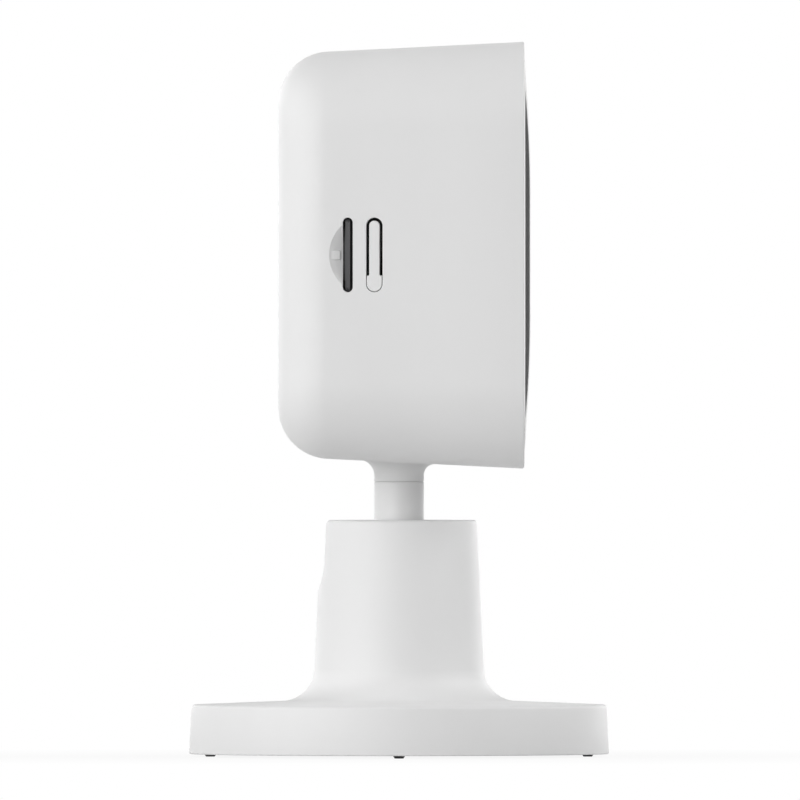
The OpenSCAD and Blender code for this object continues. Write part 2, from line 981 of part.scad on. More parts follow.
module board_screws() {
    color("silver")
        in_head()
            corners(boss_at) {
                rod_y(screw_head_r, board_y - screw_head_h, board_y);
                rod_y(screw_r, board_y - run, board_back + screw_l);
            }
}

// Tin cover over the processor
module shield_can() {
    color("lightgray")
        in_head()
            translate([can_at[0], 0, can_at[1]])
                difference() {
                    slab_y(board_back, board_back + can_h)
                        polygon(rounded(can_side, can_side, can_corner_r));
                    slab_y(board_back - bite, board_back + can_h - can_skin)
                        polygon(rounded(can_in, can_in, can_corner_r - can_skin));
                }
}

module board_connectors() {
    color("ivory")
        in_head()
            for (y = [light_back, board_y - connector[1]])
                translate([-connector[0] / 2, y, connector_z])
                    cube(connector);
}

// Flat flexible cable between the two boards
module ribbon_cable() {
    from = light_back + connector[1];
    to = board_y - connector[1];
    span = to - from;
    bow_r = (pow(span / 2, 2) + pow(ribbon_bow, 2)) / (2 * ribbon_bow);
    middle = [(from + to) / 2, ribbon_bow - bow_r];
    open = asin(span / 2 / bow_r);
    color("orange")
        in_head()
            translate([0, 0, connector_z + connector[2] / 2])
                slab_x(-ribbon_w / 2, ribbon_w / 2)
                    polygon(concat(
                        arc(middle, bow_r, 90 + open, 90 - open),
                        arc(middle, bow_r - ribbon_t, 90 - open * 0.99, 90 + open * 0.99)
                    ));
}

module card_socket() {
    color("silver")
        in_head()
            difference() {
                translate([-socket_out, board_back, -socket_w / 2])
                    cube([socket_l, socket_h, socket_w]);
                translate([-socket_out - bite, card_y - card_t / 2 - channel_gap, -slot_l / 2])
                    cube([bite + socket_out - card_out + card_l + seat, card_t + 2 * channel_gap, slot_l]);
            }
}

// Memory card with the small grip ridge at its outer end
module memory_card() {
    color("darkgray")
        in_head()
            translate([-card_out, card_y, 0]) {
                translate([0, -card_t / 2, -card_w / 2])
                    cube([card_l, card_t, card_w]);
                translate([0.4, card_t / 2 - seat, -card_w / 2 + 1.5])
                    cube([grip_l, grip_rise + seat, card_w - 3]);
            }
}

// Outline of the key: its root fills the opening, its tongue has a gap on three sides
module key_outline() {
    tongue_w = key_w - 2 * key_gap;
    tongue_top = slot_l / 2 - key_gap;
    intersection() {
        polygon(pill(key_w - 2 * key_clear, slot_l - 2 * key_clear));
        translate([-key_w, key_foot])
            square([2 * key_w, key_root]);
    }
    translate([0, (tongue_top + key_hinge) / 2])
        polygon(pill(tongue_w, tongue_top - key_hinge));
}

// Springy tongue in the -X wall, with a nub over the switch
module reset_key() {
    color("whitesmoke")
        in_head() {
            intersection() {
                wall_layer(0, key_t, key_y - key_w, key_y + key_w, slot_l);
                translate([0, key_y, 0])
                    slab_x(-head_half, -head_half / 2)
                        key_outline();
            }
            translate([0, key_y, key_nub])
                rod_x(key_nub_r, -side_half(key_t / 2, key_y), -switch_out - plunger_out - run);
        }
}

module reset_switch() {
    color("black")
        in_head()
            difference() {
                translate([-switch_out, board_y - switch_h, key_nub - switch_w / 2])
                    cube([switch_l, switch_h, switch_w]);
                translate([0, key_y, key_nub])
                    rod_x(plunger_r + run, -switch_out - bite, -switch_out + plunger_in + key_travel + seat);
            }
}

module switch_plunger() {
    color("white")
        in_head()
            translate([0, key_y, key_nub])
                rod_x(plunger_r, -switch_out - plunger_out, -switch_out + plunger_in);
}

// Printed antenna stuck to the +X wall
module wifi_antenna() {
    color("orange")
        in_head()
            mirror([1, 0, 0])
                wall_layer(inner_wall, inner_wall + antenna_t, antenna_y, antenna_end, antenna[1]);
}

// ---------------------------------------------------------------- speaker

// Puts a profile round the speaker's axis: x is radius, y runs back from the magnet
module in_speaker() {
    in_head()
        translate([0, speaker_y, speaker_rise])
            turned_y()
                children();
}

module speaker_basket() {
    mouth = speaker_r - speaker_lip;
    color("black")
        in_speaker()
            polygon([
                [magnet_r, basket_foot],
                [mouth - 0.5, basket_shoulder],
                [speaker_r, basket_shoulder],
                [speaker_r, speaker_h],
                [mouth, speaker_h],
                [mouth, basket_ledge],
                [mouth - 0.8, basket_ledge],
                [magnet_r, basket_foot + basket_t]
            ]);
}

module speaker_magnet() {
    color("silver")
        in_speaker()
            polygon([
                [0, 0],
                [magnet_r - 0.3, 0],
                [magnet_r, 0.3],
                [magnet_r, magnet_h],
                [0, magnet_h]
            ]);
}

// Thin diaphragm with a dome in its middle and a flat edge
module speaker_cone() {
    edge = speaker_r - speaker_lip - seat;
    face = [
        [0, cone_rim],
        [cone_dome_r, cone_rim - 2 * seat],
        [cone_valley_r, cone_valley],
        [edge - 1, cone_rim],
        [edge, cone_rim]
    ];
    color("dimgray")
        in_speaker()
            polygon(concat(
                face,
                [for (i = [len(face) - 1:-1:0]) face[i] + [0, cone_t]]
            ));
}

module speaker_gasket() {
    color("darkgray")
        in_speaker()
            translate([speaker_r - 2, speaker_h])
                square([2, gasket_t]);
}

// Upright power receptacle on the back of the main board
module power_inlet() {
    mouth = head_depth - inlet_sunk;
    inside = [inlet_w - 2 * inlet_skin, inlet_h - 2 * inlet_skin];
    color("silver")
        in_head()
            translate([0, 0, -inlet_drop]) {
                difference() {
                    slab_y(board_back, mouth)
                        polygon(rounded(inlet_w, inlet_h, inlet_h / 2));
                    slab_y(board_back + 4, mouth + bite)
                        polygon(rounded(inside[0], inside[1], inside[1] / 2));
                }
                slab_y(board_back + 3, mouth - 0.8)
                    square(inlet_tongue, center = true);
            }
}

// --------------------------------------------------------- neck and swivel

// Ball, neck, shank and thread in one turned piece
module ball_stud() {
    waist = sqrt(pow(ball_r, 2) - pow(neck_r, 2)) - 2 * seat;
    thread_top = head_z + boss_top + washer_t + wave_h + nut_h + 0.5;
    color("gainsboro") {
        translate([0, 0, pivot_z])
            sphere(r = ball_r);
        rotate_extrude()
            polygon([
                [0, pivot_z],
                [neck_r, pivot_z + waist],
                [neck_r, seam_z - seam_gap - seat],
                [neck_r - seat, seam_z - seam_gap],
                [shank_r, seam_z - seam_gap],
                [shank_r, head_z + boss_top - run],
                [thread_r, head_z + boss_top - run],
                [thread_r, thread_top - 0.3],
                [thread_r - 0.3, thread_top],
                [0, thread_top]
            ]);
    }
}

module thrust_washer() {
    color("wheat")
        translate([0, 0, head_z + boss_top])
            ring(washer_r, thread_r + run, run, washer_t);
}

// Coned spring washer that keeps the swivel stiff
module wave_washer() {
    foot = head_z + boss_top + washer_t;
    color("silver")
        rotate_extrude()
            polygon([
                [thread_r + run, foot + wave_h - 0.4],
                [washer_r, foot + run],
                [washer_r, foot + 0.4],
                [thread_r + run, foot + wave_h - run]
            ]);
}

module swivel_nut() {
    color("gold")
        translate([0, 0, head_z + boss_top + washer_t + wave_h])
            difference() {
                cylinder(r = nut_flats / 2 / cos(30), h = nut_h, $fn = 6);
                translate([0, 0, -bite])
                    cylinder(r = thread_r + run, h = nut_h + 2 * bite);
            }
}

// ------------------------------------------------------------------ stand

// Outline of the stand: top, drafted wall, hollow, disc and rim
function stand_outline() =
    let (
        tan_w = tan(pedestal_draft),
        tan_d = tan(disc_fall),
        rise = stand_h - rim_top - rim_top_r * tan_d - pedestal_fillet / cos(disc_fall),
        at_r = (pedestal_r + rise * tan_w + pedestal_fillet / cos(pedestal_draft)) / (1 - tan_w * tan_d),
        at_z = rim_top + (rim_top_r - at_r) * tan_d + pedestal_fillet / cos(disc_fall)
    )
    concat(
        [[0, plate_z], [disc_r, plate_z]],
        arc([rim_top_r - edge_r, rim_top - edge_r], edge_r, rim_draft, 90 - disc_fall, 6),
        arc([at_r, at_z], pedestal_fillet, 270 - disc_fall, 180 + pedestal_draft),
        arc([pedestal_r - edge_r, stand_h - edge_r], edge_r, pedestal_draft, 90, 6),
        [[0, stand_h]]
    );

module stand_shell() {
    color("white")
        difference() {
            union() {
                difference() {
                    rotate_extrude()
                        polygon(stand_outline());
                    translate([0, 0, plate_z - bite])
                        cylinder(r = rim_in_r, h = disc_in - plate_z + bite);
                }
                for (i = [0:rib_count - 1])
                    rotate([0, 0, (i + 0.5) * 360 / rib_count])
                        translate([plate_pcd_r + plate_boss_r, -rib_t / 2, rib_foot])
                            cube([rib_l, rib_t, disc_in - rib_foot + 0.5]);
                for (a = plate_angles)
                    rotate([0, 0, a])
                        translate([plate_pcd_r, 0, plate_top + run])
                            cylinder(r = plate_boss_r, h = disc_in - plate_top + 0.5);
            }
            translate([0, 0, plate_z])
                cylinder(r = bore_r, h = pivot_z - plate_z);
            translate([0, 0, pivot_z])
                sphere(r = ball_r + run);
            neck_sweep(slot_r);
            translate([-cup_key[0] / 2 - seat, -bore_r - cup_key[1], plate_z])
                cube([cup_key[0] + 2 * seat, 3, pivot_z - plate_z]);
            for (a = retainer_angles)
                rotate([0, 0, a])
                    translate([retainer_pcd_r, 0, disc_in - bite])
                        cylinder(r = pilot_r, h = retainer_screw_l + 0.4 + bite);
            for (a = plate_angles)
                rotate([0, 0, a])
                    translate([plate_pcd_r, 0, plate_z])
                        cylinder(r = pilot_r, h = plate_t + plate_screw_l + 0.4);
        }
}

// Lower half of the ball's socket, pushed up by the springs
module socket_cup() {
    color("lightgray")
        difference() {
            union() {
                translate([0, 0, cup_foot])
                    cylinder(r = cup_r, h = cup_top - cup_foot);
                translate([-cup_key[0] / 2, -bore_r - cup_key[1] + seat, cup_foot])
                    cube([cup_key[0], 3, cup_top - cup_foot]);
            }
            translate([0, 0, pivot_z])
                sphere(r = ball_r + run);
            neck_sweep(slot_r);
            translate([0, 0, cup_foot - bite])
                cylinder(r = 2, h = cup_h);
        }
}

// Two coned washers, edge to edge
module disc_springs() {
    foot = retainer_top + spring_gap;
    middle = foot + spring_t + spring_rise + spring_gap / 2;
    half = [
        [spring_in_r, spring_rise],
        [spring_out_r, 0],
        [spring_out_r, spring_t],
        [spring_in_r, spring_rise + spring_t]
    ];
    color("silver") {
        translate([0, 0, foot])
            rotate_extrude()
                polygon(half);
        translate([0, 0, 2 * middle - foot])
            mirror([0, 0, 1])
                rotate_extrude()
                    polygon(half);
    }
}

// Flanged plug that holds the springs and the cup in the bore
module socket_retainer() {
    color("gray")
        difference() {
            union() {
                translate([0, 0, flange_foot])
                    cylinder(r = flange_r, h = flange_t - run);
                translate([0, 0, flange_foot])
                    cylinder(r = cup_r, h = retainer_top - flange_foot);
            }
            translate([0, 0, flange_foot - bite])
                cylinder(r = cup_r - retainer_wall, h = retainer_top - retainer_wall - flange_foot + bite);
            for (a = retainer_angles)
                rotate([0, 0, a])
                    translate([retainer_pcd_r, 0, flange_foot - bite])
                        cylinder(r = pilot_r + seat, h = flange_t + 2 * bite);
        }
}

module retainer_screws() {
    color("silver")
        for (a = retainer_angles)
            rotate([0, 0, a])
                translate([retainer_pcd_r, 0, flange_foot - screw_head_h]) {
                    cylinder(r = retainer_head_r, h = screw_head_h);
                    cylinder(r = screw_r, h = screw_head_h + flange_t + retainer_screw_l);
                }
}

// Steel ring that keeps the stand from tipping
module ballast_ring() {
    color("slategray")
        ring(ballast_out_r, ballast_in_r, plate_top + run, plate_top + run + ballast_t);
}

// Hole that a wall screw's head enters and slides along
module keyhole() {
    cylinder(r = keyhole_head_r, h = plate_t + 2 * bite);
    translate([-keyhole_slot_r, 0, 0])
        cube([2 * keyhole_slot_r, keyhole_run, plate_t + 2 * bite]);
    translate([0, keyhole_run, 0])
        cylinder(r = keyhole_slot_r, h = plate_t + 2 * bite);
}

module bottom_plate() {
    color("whitesmoke")
        difference() {
            union() {
                translate([0, 0, plate_z])
                    cylinder(r = plate_r, h = plate_t);
                ring(ballast_in_r - seat, ballast_in_r - 0.8, plate_top - run, plate_top + 1);
            }
            for (x = [-keyhole_at, keyhole_at])
                translate([x, -keyhole_run / 2, plate_z - bite])
                    keyhole();
            for (a = plate_angles)
                rotate([0, 0, a])
                    translate([plate_pcd_r, 0, plate_z - run]) {
                        cylinder(r1 = plate_head_r + run, r2 = pilot_r + seat, h = 1);
                        cylinder(r = pilot_r + seat, h = plate_t + bite);
                    }
            for (a = [0:90:270])
                rotate([0, 0, a])
                    translate([foot_at, 0, plate_z - bite])
                        cylinder(r = foot_r, h = bite + foot_stem);
        }
}

module plate_screws() {
    color("silver")
        for (a = plate_angles)
            rotate([0, 0, a])
                translate([plate_pcd_r, 0, plate_z + run]) {
                    cylinder(r1 = plate_head_r - seat, r2 = screw_r, h = 0.9);
                    cylinder(r = screw_r, h = plate_t + plate_screw_l - seat);
                }
}

module rubber_feet() {
    color("dimgray")
        for (a = [0:90:270])
            rotate([0, 0, a])
                translate([foot_at, 0, 0])
                    rotate_extrude()
                        polygon([
                            [0, 0],
                            [foot_tip_r, 0],
                            [foot_r, foot_h],
                            [foot_r, foot_h + foot_stem],
                            [0, foot_h + foot_stem]
                        ]);
}

head_shell();
front_frame();
front_window();
lens_cover();
lens_baffle();
lens_glass();
lens_barrel();
lens_holder();
image_sensor();
filter_coil();
filter_carriage();
filter_panes();
light_board();
light_board_screws();
infrared_lamps();
status_lamp();
light_pipe();
light_sensor();
microphone();
microphone_boot();
main_board();
board_screws();
shield_can();
board_connectors();
ribbon_cable();
card_socket();
memory_card();
reset_key();
reset_switch();
switch_plunger();
wifi_antenna();
speaker_basket();
speaker_magnet();
speaker_cone();
speaker_gasket();
power_inlet();
ball_stud();
thrust_washer();
wave_washer();
swivel_nut();
stand_shell();
socket_cup();
disc_springs();
socket_retainer();
retainer_screws();
ballast_ring();
bottom_plate();
plate_screws();
rubber_feet();
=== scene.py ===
"""Looks of an indoor security camera: a square white head that swivels on a folding ball stand.

Lengths in the classes are in millimetres, in the head's or the stand's own measures, and the
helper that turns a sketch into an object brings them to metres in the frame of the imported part.
In the head, X is its width, Y its depth from the front and Z its height.
"""

from __future__ import annotations

import json
import logging
from dataclasses import dataclass, field
from enum import Enum
from math import acos, asin, atan2, cos, degrees, hypot, pi, radians, sin, sqrt, tan
from typing import Callable, Iterable, Sequence

import bmesh
import bpy
from bpy.types import Material, Mesh, Node, NodeSocket, Object
from mathutils import Matrix, Vector

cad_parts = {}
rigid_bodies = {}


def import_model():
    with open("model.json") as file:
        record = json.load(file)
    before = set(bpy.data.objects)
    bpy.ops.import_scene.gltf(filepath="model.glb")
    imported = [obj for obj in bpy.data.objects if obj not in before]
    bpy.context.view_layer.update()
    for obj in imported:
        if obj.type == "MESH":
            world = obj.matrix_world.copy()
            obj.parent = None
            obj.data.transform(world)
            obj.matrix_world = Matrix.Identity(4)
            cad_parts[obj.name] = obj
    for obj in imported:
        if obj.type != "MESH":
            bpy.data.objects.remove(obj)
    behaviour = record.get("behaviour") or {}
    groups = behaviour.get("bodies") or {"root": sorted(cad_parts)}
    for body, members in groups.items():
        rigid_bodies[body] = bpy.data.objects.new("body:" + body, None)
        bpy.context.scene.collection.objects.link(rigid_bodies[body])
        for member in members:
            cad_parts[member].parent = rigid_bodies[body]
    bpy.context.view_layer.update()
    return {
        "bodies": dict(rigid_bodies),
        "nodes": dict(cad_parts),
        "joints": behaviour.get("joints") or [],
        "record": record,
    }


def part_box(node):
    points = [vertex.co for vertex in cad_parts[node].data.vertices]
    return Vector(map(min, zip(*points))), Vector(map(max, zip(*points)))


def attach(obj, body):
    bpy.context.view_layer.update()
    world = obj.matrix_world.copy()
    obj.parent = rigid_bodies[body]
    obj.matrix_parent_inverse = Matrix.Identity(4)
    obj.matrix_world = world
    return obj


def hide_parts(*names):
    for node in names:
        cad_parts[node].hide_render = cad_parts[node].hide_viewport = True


LOG = logging.getLogger("camera")
MM = 0.001
ON_AXIS = 1e-6  # a profile's point nearer than this lies on the axis
WELD = 2e-4  # vertices nearer than this are one
SHARP = 32.0  # angle in degrees past which an edge stays sharp

Point2 = tuple[float, float]
Point3 = tuple[float, float, float]
Outline = Sequence[Point2]


# ------------------------------------------------------------------ outlines


def oval(at: Point2, rx: float, ry: float, start: float, end: float, steps: int) -> list[Point2]:
    """Points along a part of an ellipse.

    Args:
        at: Centre.
        rx: Radius along the first axis.
        ry: Radius along the second axis.
        start: First angle in degrees.
        end: Last angle in degrees.
        steps: Number of chords.

    Returns:
        steps + 1 points.
    """
    angles = [radians(start + (end - start) * i / steps) for i in range(steps + 1)]
    return [(at[0] + rx * cos(a), at[1] + ry * sin(a)) for a in angles]


def arc(at: Point2, r: float, start: float, end: float, steps: int) -> list[Point2]:
    """Points along a part of a circle."""
    return oval(at, r, r, start, end, steps)


def between(a: Point2, b: Point2, parts: int) -> list[Point2]:
    """Points that split a line into equal parts, without its ends."""
    return [(a[0] + (b[0] - a[0]) * k / parts, a[1] + (b[1] - a[1]) * k / parts) for k in range(1, parts)]


def rounded(w: float, h: float, r: float, steps: int = 12, split: int = 1) -> list[Point2]:
    """Outline of a rounded rectangle about the origin.

    Args:
        w: Width.
        h: Height.
        r: Corner radius.
        steps: Chords in each corner.
        split: Parts that each straight side is split into.

    Returns:
        The outline's points, counterclockwise.
    """
    x, y = w / 2 - r, h / 2 - r
    centres = (((x, y), 0), ((-x, y), 90), ((-x, -y), 180), ((x, -y), 270))
    corners = [arc(at, r, a, a + 90, steps) for at, a in centres]
    points: list[Point2] = []
    for corner, following in zip(corners, corners[1:] + corners[:1]):
        points += corner + between(corner[-1], following[0], split)
    return points


def pill(w: float, length: float) -> list[Point2]:
    """Outline with round ends, long along its second axis."""
    return rounded(w, length, w / 2 - 1e-4, 16)


def shrunk(outline: Outline, by: float) -> list[Point2]:
    """Moves a convex outline inwards, point by point along its bisectors."""
    least_spread = 0.4
    points: list[Point2] = []
    n = len(outline)
    for i in range(n):
        before, here, after = (Vector(outline[(i + k) % n]) for k in (-1, 0, 1))
        a, b = (here - before).normalized(), (after - here).normalized()
        normal = Vector((-(a.y + b.y), a.x + b.x)).normalized()
        moved = here + normal * (by / max(least_spread, normal.dot(Vector((-a.y, a.x)))))
        points.append((moved.x, moved.y))
    return points


def square_of(half: float, y: float) -> list[Point3]:
    """Corners of a square about the head's middle, at one depth."""
    return [(x, y, z) for x in (-half, half) for z in (-half, half)]


def circle_of(r: float, z: float, angles: Sequence[float]) -> list[Point3]:
    """Places on a circle about the stand's axis, at one height."""
    return [(r * cos(radians(a)), r * sin(radians(a)), z) for a in angles]


# -------------------------------------------------------------------- sketch


@dataclass
class Sketch:
    """Vertices and faces in millimetres, on their way to becoming an object."""

    verts: list[Vector] = field(default_factory=list)
    faces: list[tuple[int, ...]] = field(default_factory=list)

    def ring(self, points: Iterable[Sequence[float]]) -> list[int]:
        """Adds points and returns their numbers."""
        first = len(self.verts)
        self.verts += [Vector(p) for p in points]
        return list(range(first, len(self.verts)))

    def add(self, other: Sketch, place: Matrix | None = None) -> Sketch:
        """Adds a copy of another sketch, moved to its place."""
        first = len(self.verts)
        self.verts += [(place or Matrix()) @ v for v in other.verts]
        self.faces += [tuple(i + first for i in face) for face in other.faces]
        return self

    def loft(self, rings: Sequence[Iterable[Sequence[float]]], caps: bool = True) -> Sketch:
        """Joins closed rings in order with quads.

        Args:
            rings: Rings of points, all of the same length.
            caps: Whether both ends are closed with a flat face.

        Returns:
            The sketch itself.
        """
        numbers = [self.ring(r) for r in rings]
        for a, b in zip(numbers, numbers[1:]):
            n = len(a)
            self.faces += [(a[i], a[(i + 1) % n], b[(i + 1) % n], b[i]) for i in range(n)]
        if caps:
            self.faces += [tuple(reversed(numbers[0])), tuple(numbers[-1])]
        return self

    def stacked(self, levels: Iterable[tuple[Outline, float]], axis: int = 2) -> Sketch:
        """Joins outlines, each at its own height along one axis."""
        return self.loft([[(*p[:axis], height, *p[axis:]) for p in outline] for outline, height in levels])

    def turned(self, profile: Outline, sides: int, bend: Callable[[Vector], Vector] | None = None) -> Sketch:
        """Turns a closed profile about Z.

        Args:
            profile: Points (radius, height) of a closed loop, or of a path from axis to axis.
            sides: Number of sides round the axis.
            bend: Moves each point after turning, if given.

        Returns:
            The sketch itself.
        """
        columns: list[list[int]] = []
        for r, z in profile:
            if r < ON_AXIS:
                columns.append(self.ring([(0.0, 0.0, z)]) * sides)
            else:
                turns = (2 * pi * i / sides for i in range(sides))
                columns.append(self.ring([(r * cos(a), r * sin(a), z) for a in turns]))
        if max(profile[0][0], profile[-1][0]) > ON_AXIS:
            columns.append(columns[0])
        for a, b in zip(columns, columns[1:]):
            for i in range(sides):
                j = (i + 1) % sides
                face = tuple(dict.fromkeys((a[i], a[j], b[j], b[i])))
                if len(face) > 2:
                    self.faces.append(face)
        if bend is not None:
            self.verts = [bend(v) for v in self.verts]
        return self

    def made(self, name: str, place: Matrix | None = None, sharp: float = SHARP) -> Object:
        """Makes the object, closed and with its faces outwards.

        Args:
            name: The object's name.
            place: Puts the sketch, in millimetres, into the frame.
            sharp: Angle in degrees past which an edge stays sharp.

        Returns:
            The new object.
        """
        mesh = bpy.data.meshes.new(name)
        mesh.from_pydata([tuple(v) for v in self.verts], [], self.faces)
        work = bmesh.new()
        work.from_mesh(mesh)
        bmesh.ops.remove_doubles(work, verts=work.verts, dist=WELD)
        bmesh.ops.dissolve_degenerate(work, edges=work.edges, dist=WELD / 20)
        work.transform(Matrix.Scale(MM, 4) @ (place or Matrix()))
        outwards(work)
        work.to_mesh(mesh)
        work.free()
        return shown(name, mesh, sharp)


def along_y(profile: Outline, sides: int = 96) -> Sketch:
    """Turns a profile (radius, depth) about the head's depth."""
    sketch = Sketch().turned(profile, sides)
    sketch.verts = [Vector((v.x, v.z, -v.y)) for v in sketch.verts]
    return sketch


def slab(outline: Outline, y1: float, y2: float, edge: float) -> Sketch:
    """Stands an outline (x, z) up between two depths, with a bevel round both faces."""
    small = shrunk(outline, edge)
    levels = [(small, y1), (outline, y1 + edge), (outline, y2 - edge), (small, y2)]
    return Sketch().stacked(levels, 1)


def block(low: Point3, high: Point3, edge: float) -> Sketch:
    """A rectangular block with bevelled edges, from corner to corner."""
    outline = rounded(high[0] - low[0], high[2] - low[2], edge, 3)
    middle = Matrix.Translation(((low[0] + high[0]) / 2, 0, (low[2] + high[2]) / 2))
    return Sketch().add(slab(outline, low[1], high[1], edge), middle)


# ------------------------------------------------------------------- objects


def outwards(work: bmesh.types.BMesh) -> None:
    """Turns the faces of a closed mesh outwards."""
    bmesh.ops.recalc_face_normals(work, faces=work.faces)
    if work.calc_volume(signed=True) < 0:
        bmesh.ops.reverse_faces(work, faces=work.faces)


def smooth(mesh: Mesh, sharp: float) -> None:
    """Shades a mesh smooth except past an angle in degrees."""
    mesh.polygons.foreach_set("use_smooth", [True] * len(mesh.polygons))
    mesh.set_sharp_from_angle(angle=radians(sharp))


def linked(name: str, data: bpy.types.ID) -> Object:
    """Makes an object of its data and puts it into the scene."""
    made = bpy.data.objects.new(name, data)
    bpy.context.scene.collection.objects.link(made)
    return made


def shown(name: str, mesh: Mesh, sharp: float = SHARP) -> Object:
    """Makes an object of a mesh, smooth except past an angle in degrees."""
    smooth(mesh, sharp)
    return linked(name, mesh)


def evaluated(piece: Object) -> Mesh:
    """A plain mesh of a piece with its modifiers applied."""
    return bpy.data.meshes.new_from_object(piece.evaluated_get(bpy.context.evaluated_depsgraph_get()))


def drop(piece: Object) -> None:
    """Removes an object and its mesh."""
    mesh = piece.data
    bpy.data.objects.remove(piece)
    bpy.data.meshes.remove(mesh)


def settled(piece: Object, sharp: float) -> Object:
    """Applies a piece's modifiers to its mesh.

    Args:
        piece: The piece with live modifiers.
        sharp: Angle in degrees past which an edge stays sharp.

    Returns:
        The same piece, with a plain mesh.
    """
    mesh, old = evaluated(piece), piece.data
    piece.modifiers.clear()
    piece.data = mesh
    bpy.data.meshes.remove(old)
    mesh.name = piece.name
    smooth(mesh, sharp)
    return piece


def carved(piece: Object, cutters: Sequence[Object], sharp: float = SHARP) -> Object:
    """Cuts closed pieces out of another and throws the cutters away.

    Args:
        piece: What is cut.
        cutters: What is taken away.
        sharp: Angle in degrees past which an edge stays sharp.

    Returns:
        The cut piece.
    """
    for cutter in cutters:
        cut = piece.modifiers.new(cutter.name, "BOOLEAN")
        cut.operation = "DIFFERENCE"
        cut.solver = "EXACT"
        cut.object = cutter
    settled(piece, sharp)
    for cutter in cutters:
        drop(cutter)
    return piece


def softened(piece: Object, width: float, angle: float, segments: int) -> Object:
    """Rounds a piece's sharp edges.

    Args:
        piece: The piece.
        width: Width of the rounding in millimetres.
        angle: Angle in degrees past which an edge is rounded.
        segments: Faces across the rounding.

    Returns:
        The same piece.
    """
    edge = piece.modifiers.new("edge", "BEVEL")
    edge.width = width * MM
    edge.segments = segments
    edge.limit_method = "ANGLE"
    edge.angle_limit = radians(angle)
    edge.use_clamp_overlap = True
    edge.harden_normals = False
    return settled(piece, SHARP)


# --------------------------------------------------------------------- nodes


class Nodes:
    """Short ways to add and join the nodes of one tree."""

    def __init__(self, tree: bpy.types.NodeTree) -> None:
        """Empties the tree."""
        self.tree = tree
        tree.nodes.clear()

    def give(self, goal: NodeSocket, value: object) -> None:
        """Links an input to a socket or a node's first output, or sets the input's value."""
        if isinstance(value, Node):
            value = value.outputs[0]
        if isinstance(value, NodeSocket):
            self.tree.links.new(value, goal)
        elif goal.type == "RGBA":
            goal.default_value = (*value, 1.0)
        else:
            goal.default_value = value

    def node(self, kind: str, *inputs: object, **named: object) -> Node:
        """Adds a node.

        Args:
            kind: The node's type.
            *inputs: A node or socket to link, or a value, for each of the first inputs.
            **named: The same by the input's name, with an underscore for a space. A name in
                small letters is a setting of the node itself.

        Returns:
            The node.
        """
        made = self.tree.nodes.new(kind)
        for key, value in named.items():
            if key.islower():
                setattr(made, key, value)
            else:
                self.give(made.inputs[key.replace("_", " ")], value)
        for goal, value in zip(made.inputs, inputs):
            self.give(goal, value)
        return made

    def maths(self, how: str, a: NodeSocket, b: NodeSocket | float) -> NodeSocket:
        """One operation on two values."""
        return self.node("ShaderNodeMath", a, b, operation=how).outputs[0]

    def ramp(self, value: NodeSocket, low: float, high: float, out: Point2 = (0.0, 1.0)) -> NodeSocket:
        """Maps a range of a value to another."""
        limits = {"From_Min": low, "From_Max": high, "To_Min": out[0], "To_Max": out[1]}
        return self.node("ShaderNodeMapRange", Value=value, **limits).outputs[0]


class Sheet(Nodes):
    """The nodes of one material."""

    def __init__(self, name: str) -> None:
        """Starts a material with a shader and its output."""
        self.material = bpy.data.materials.new(name)
        self.material.use_nodes = True
        super().__init__(self.material.node_tree)
        self.shader = self.node("ShaderNodeBsdfPrincipled")
        self.node("ShaderNodeOutputMaterial", Surface=self.shader)
        self.place = self.node("ShaderNodeTexCoord").outputs["Object"]

    def set(self, **values: object) -> None:
        """Links or sets the shader's inputs; an underscore in a name stands for a space."""
        for key, value in values.items():
            self.give(self.shader.inputs[key.replace("_", " ")], value)

    def mapped(self, scale: Point3, turn: Point3 = (0.0, 0.0, 0.0)) -> NodeSocket:
        """Object coordinates, stretched and turned."""
        return self.node("ShaderNodeMapping", Vector=self.place, Scale=scale, Rotation=turn).outputs[0]

    def noise(self, per_m: float, detail: float = 2.0, at: NodeSocket | None = None) -> NodeSocket:
        """Noise with so many features to the metre, in the object's own or other coordinates."""
        where = at or self.place
        return self.node("ShaderNodeTexNoise", Vector=where, Scale=per_m, Detail=detail).outputs[0]

    def patchy(self, low: float, high: float, per_m: float, detail: float = 2.0) -> NodeSocket:
        """A value that drifts between two others over the surface."""
        return self.ramp(self.noise(per_m, detail), 0.3, 0.7, (low, high))

    def blend(self, by: NodeSocket, a: Point3 | NodeSocket, b: Point3) -> NodeSocket:
        """A colour between two others."""
        mix = self.node("ShaderNodeMix", by, data_type="RGBA")
        self.give(mix.inputs[6], a)
        self.give(mix.inputs[7], b)
        return mix.outputs[2]

    def bump(self, height: NodeSocket, depth_mm: float, before: NodeSocket | None = None) -> NodeSocket:
        """A normal with small relief.

        Args:
            height: Height from 0 to 1.
            depth_mm: Depth of the relief in millimetres.
            before: The normal that this relief is added to.

        Returns:
            The new normal.
        """
        node = self.node("ShaderNodeBump", Strength=1.0, Distance=depth_mm * MM, Height=height)
        if before is not None:
            self.give(node.inputs["Normal"], before)
        return node.outputs[0]


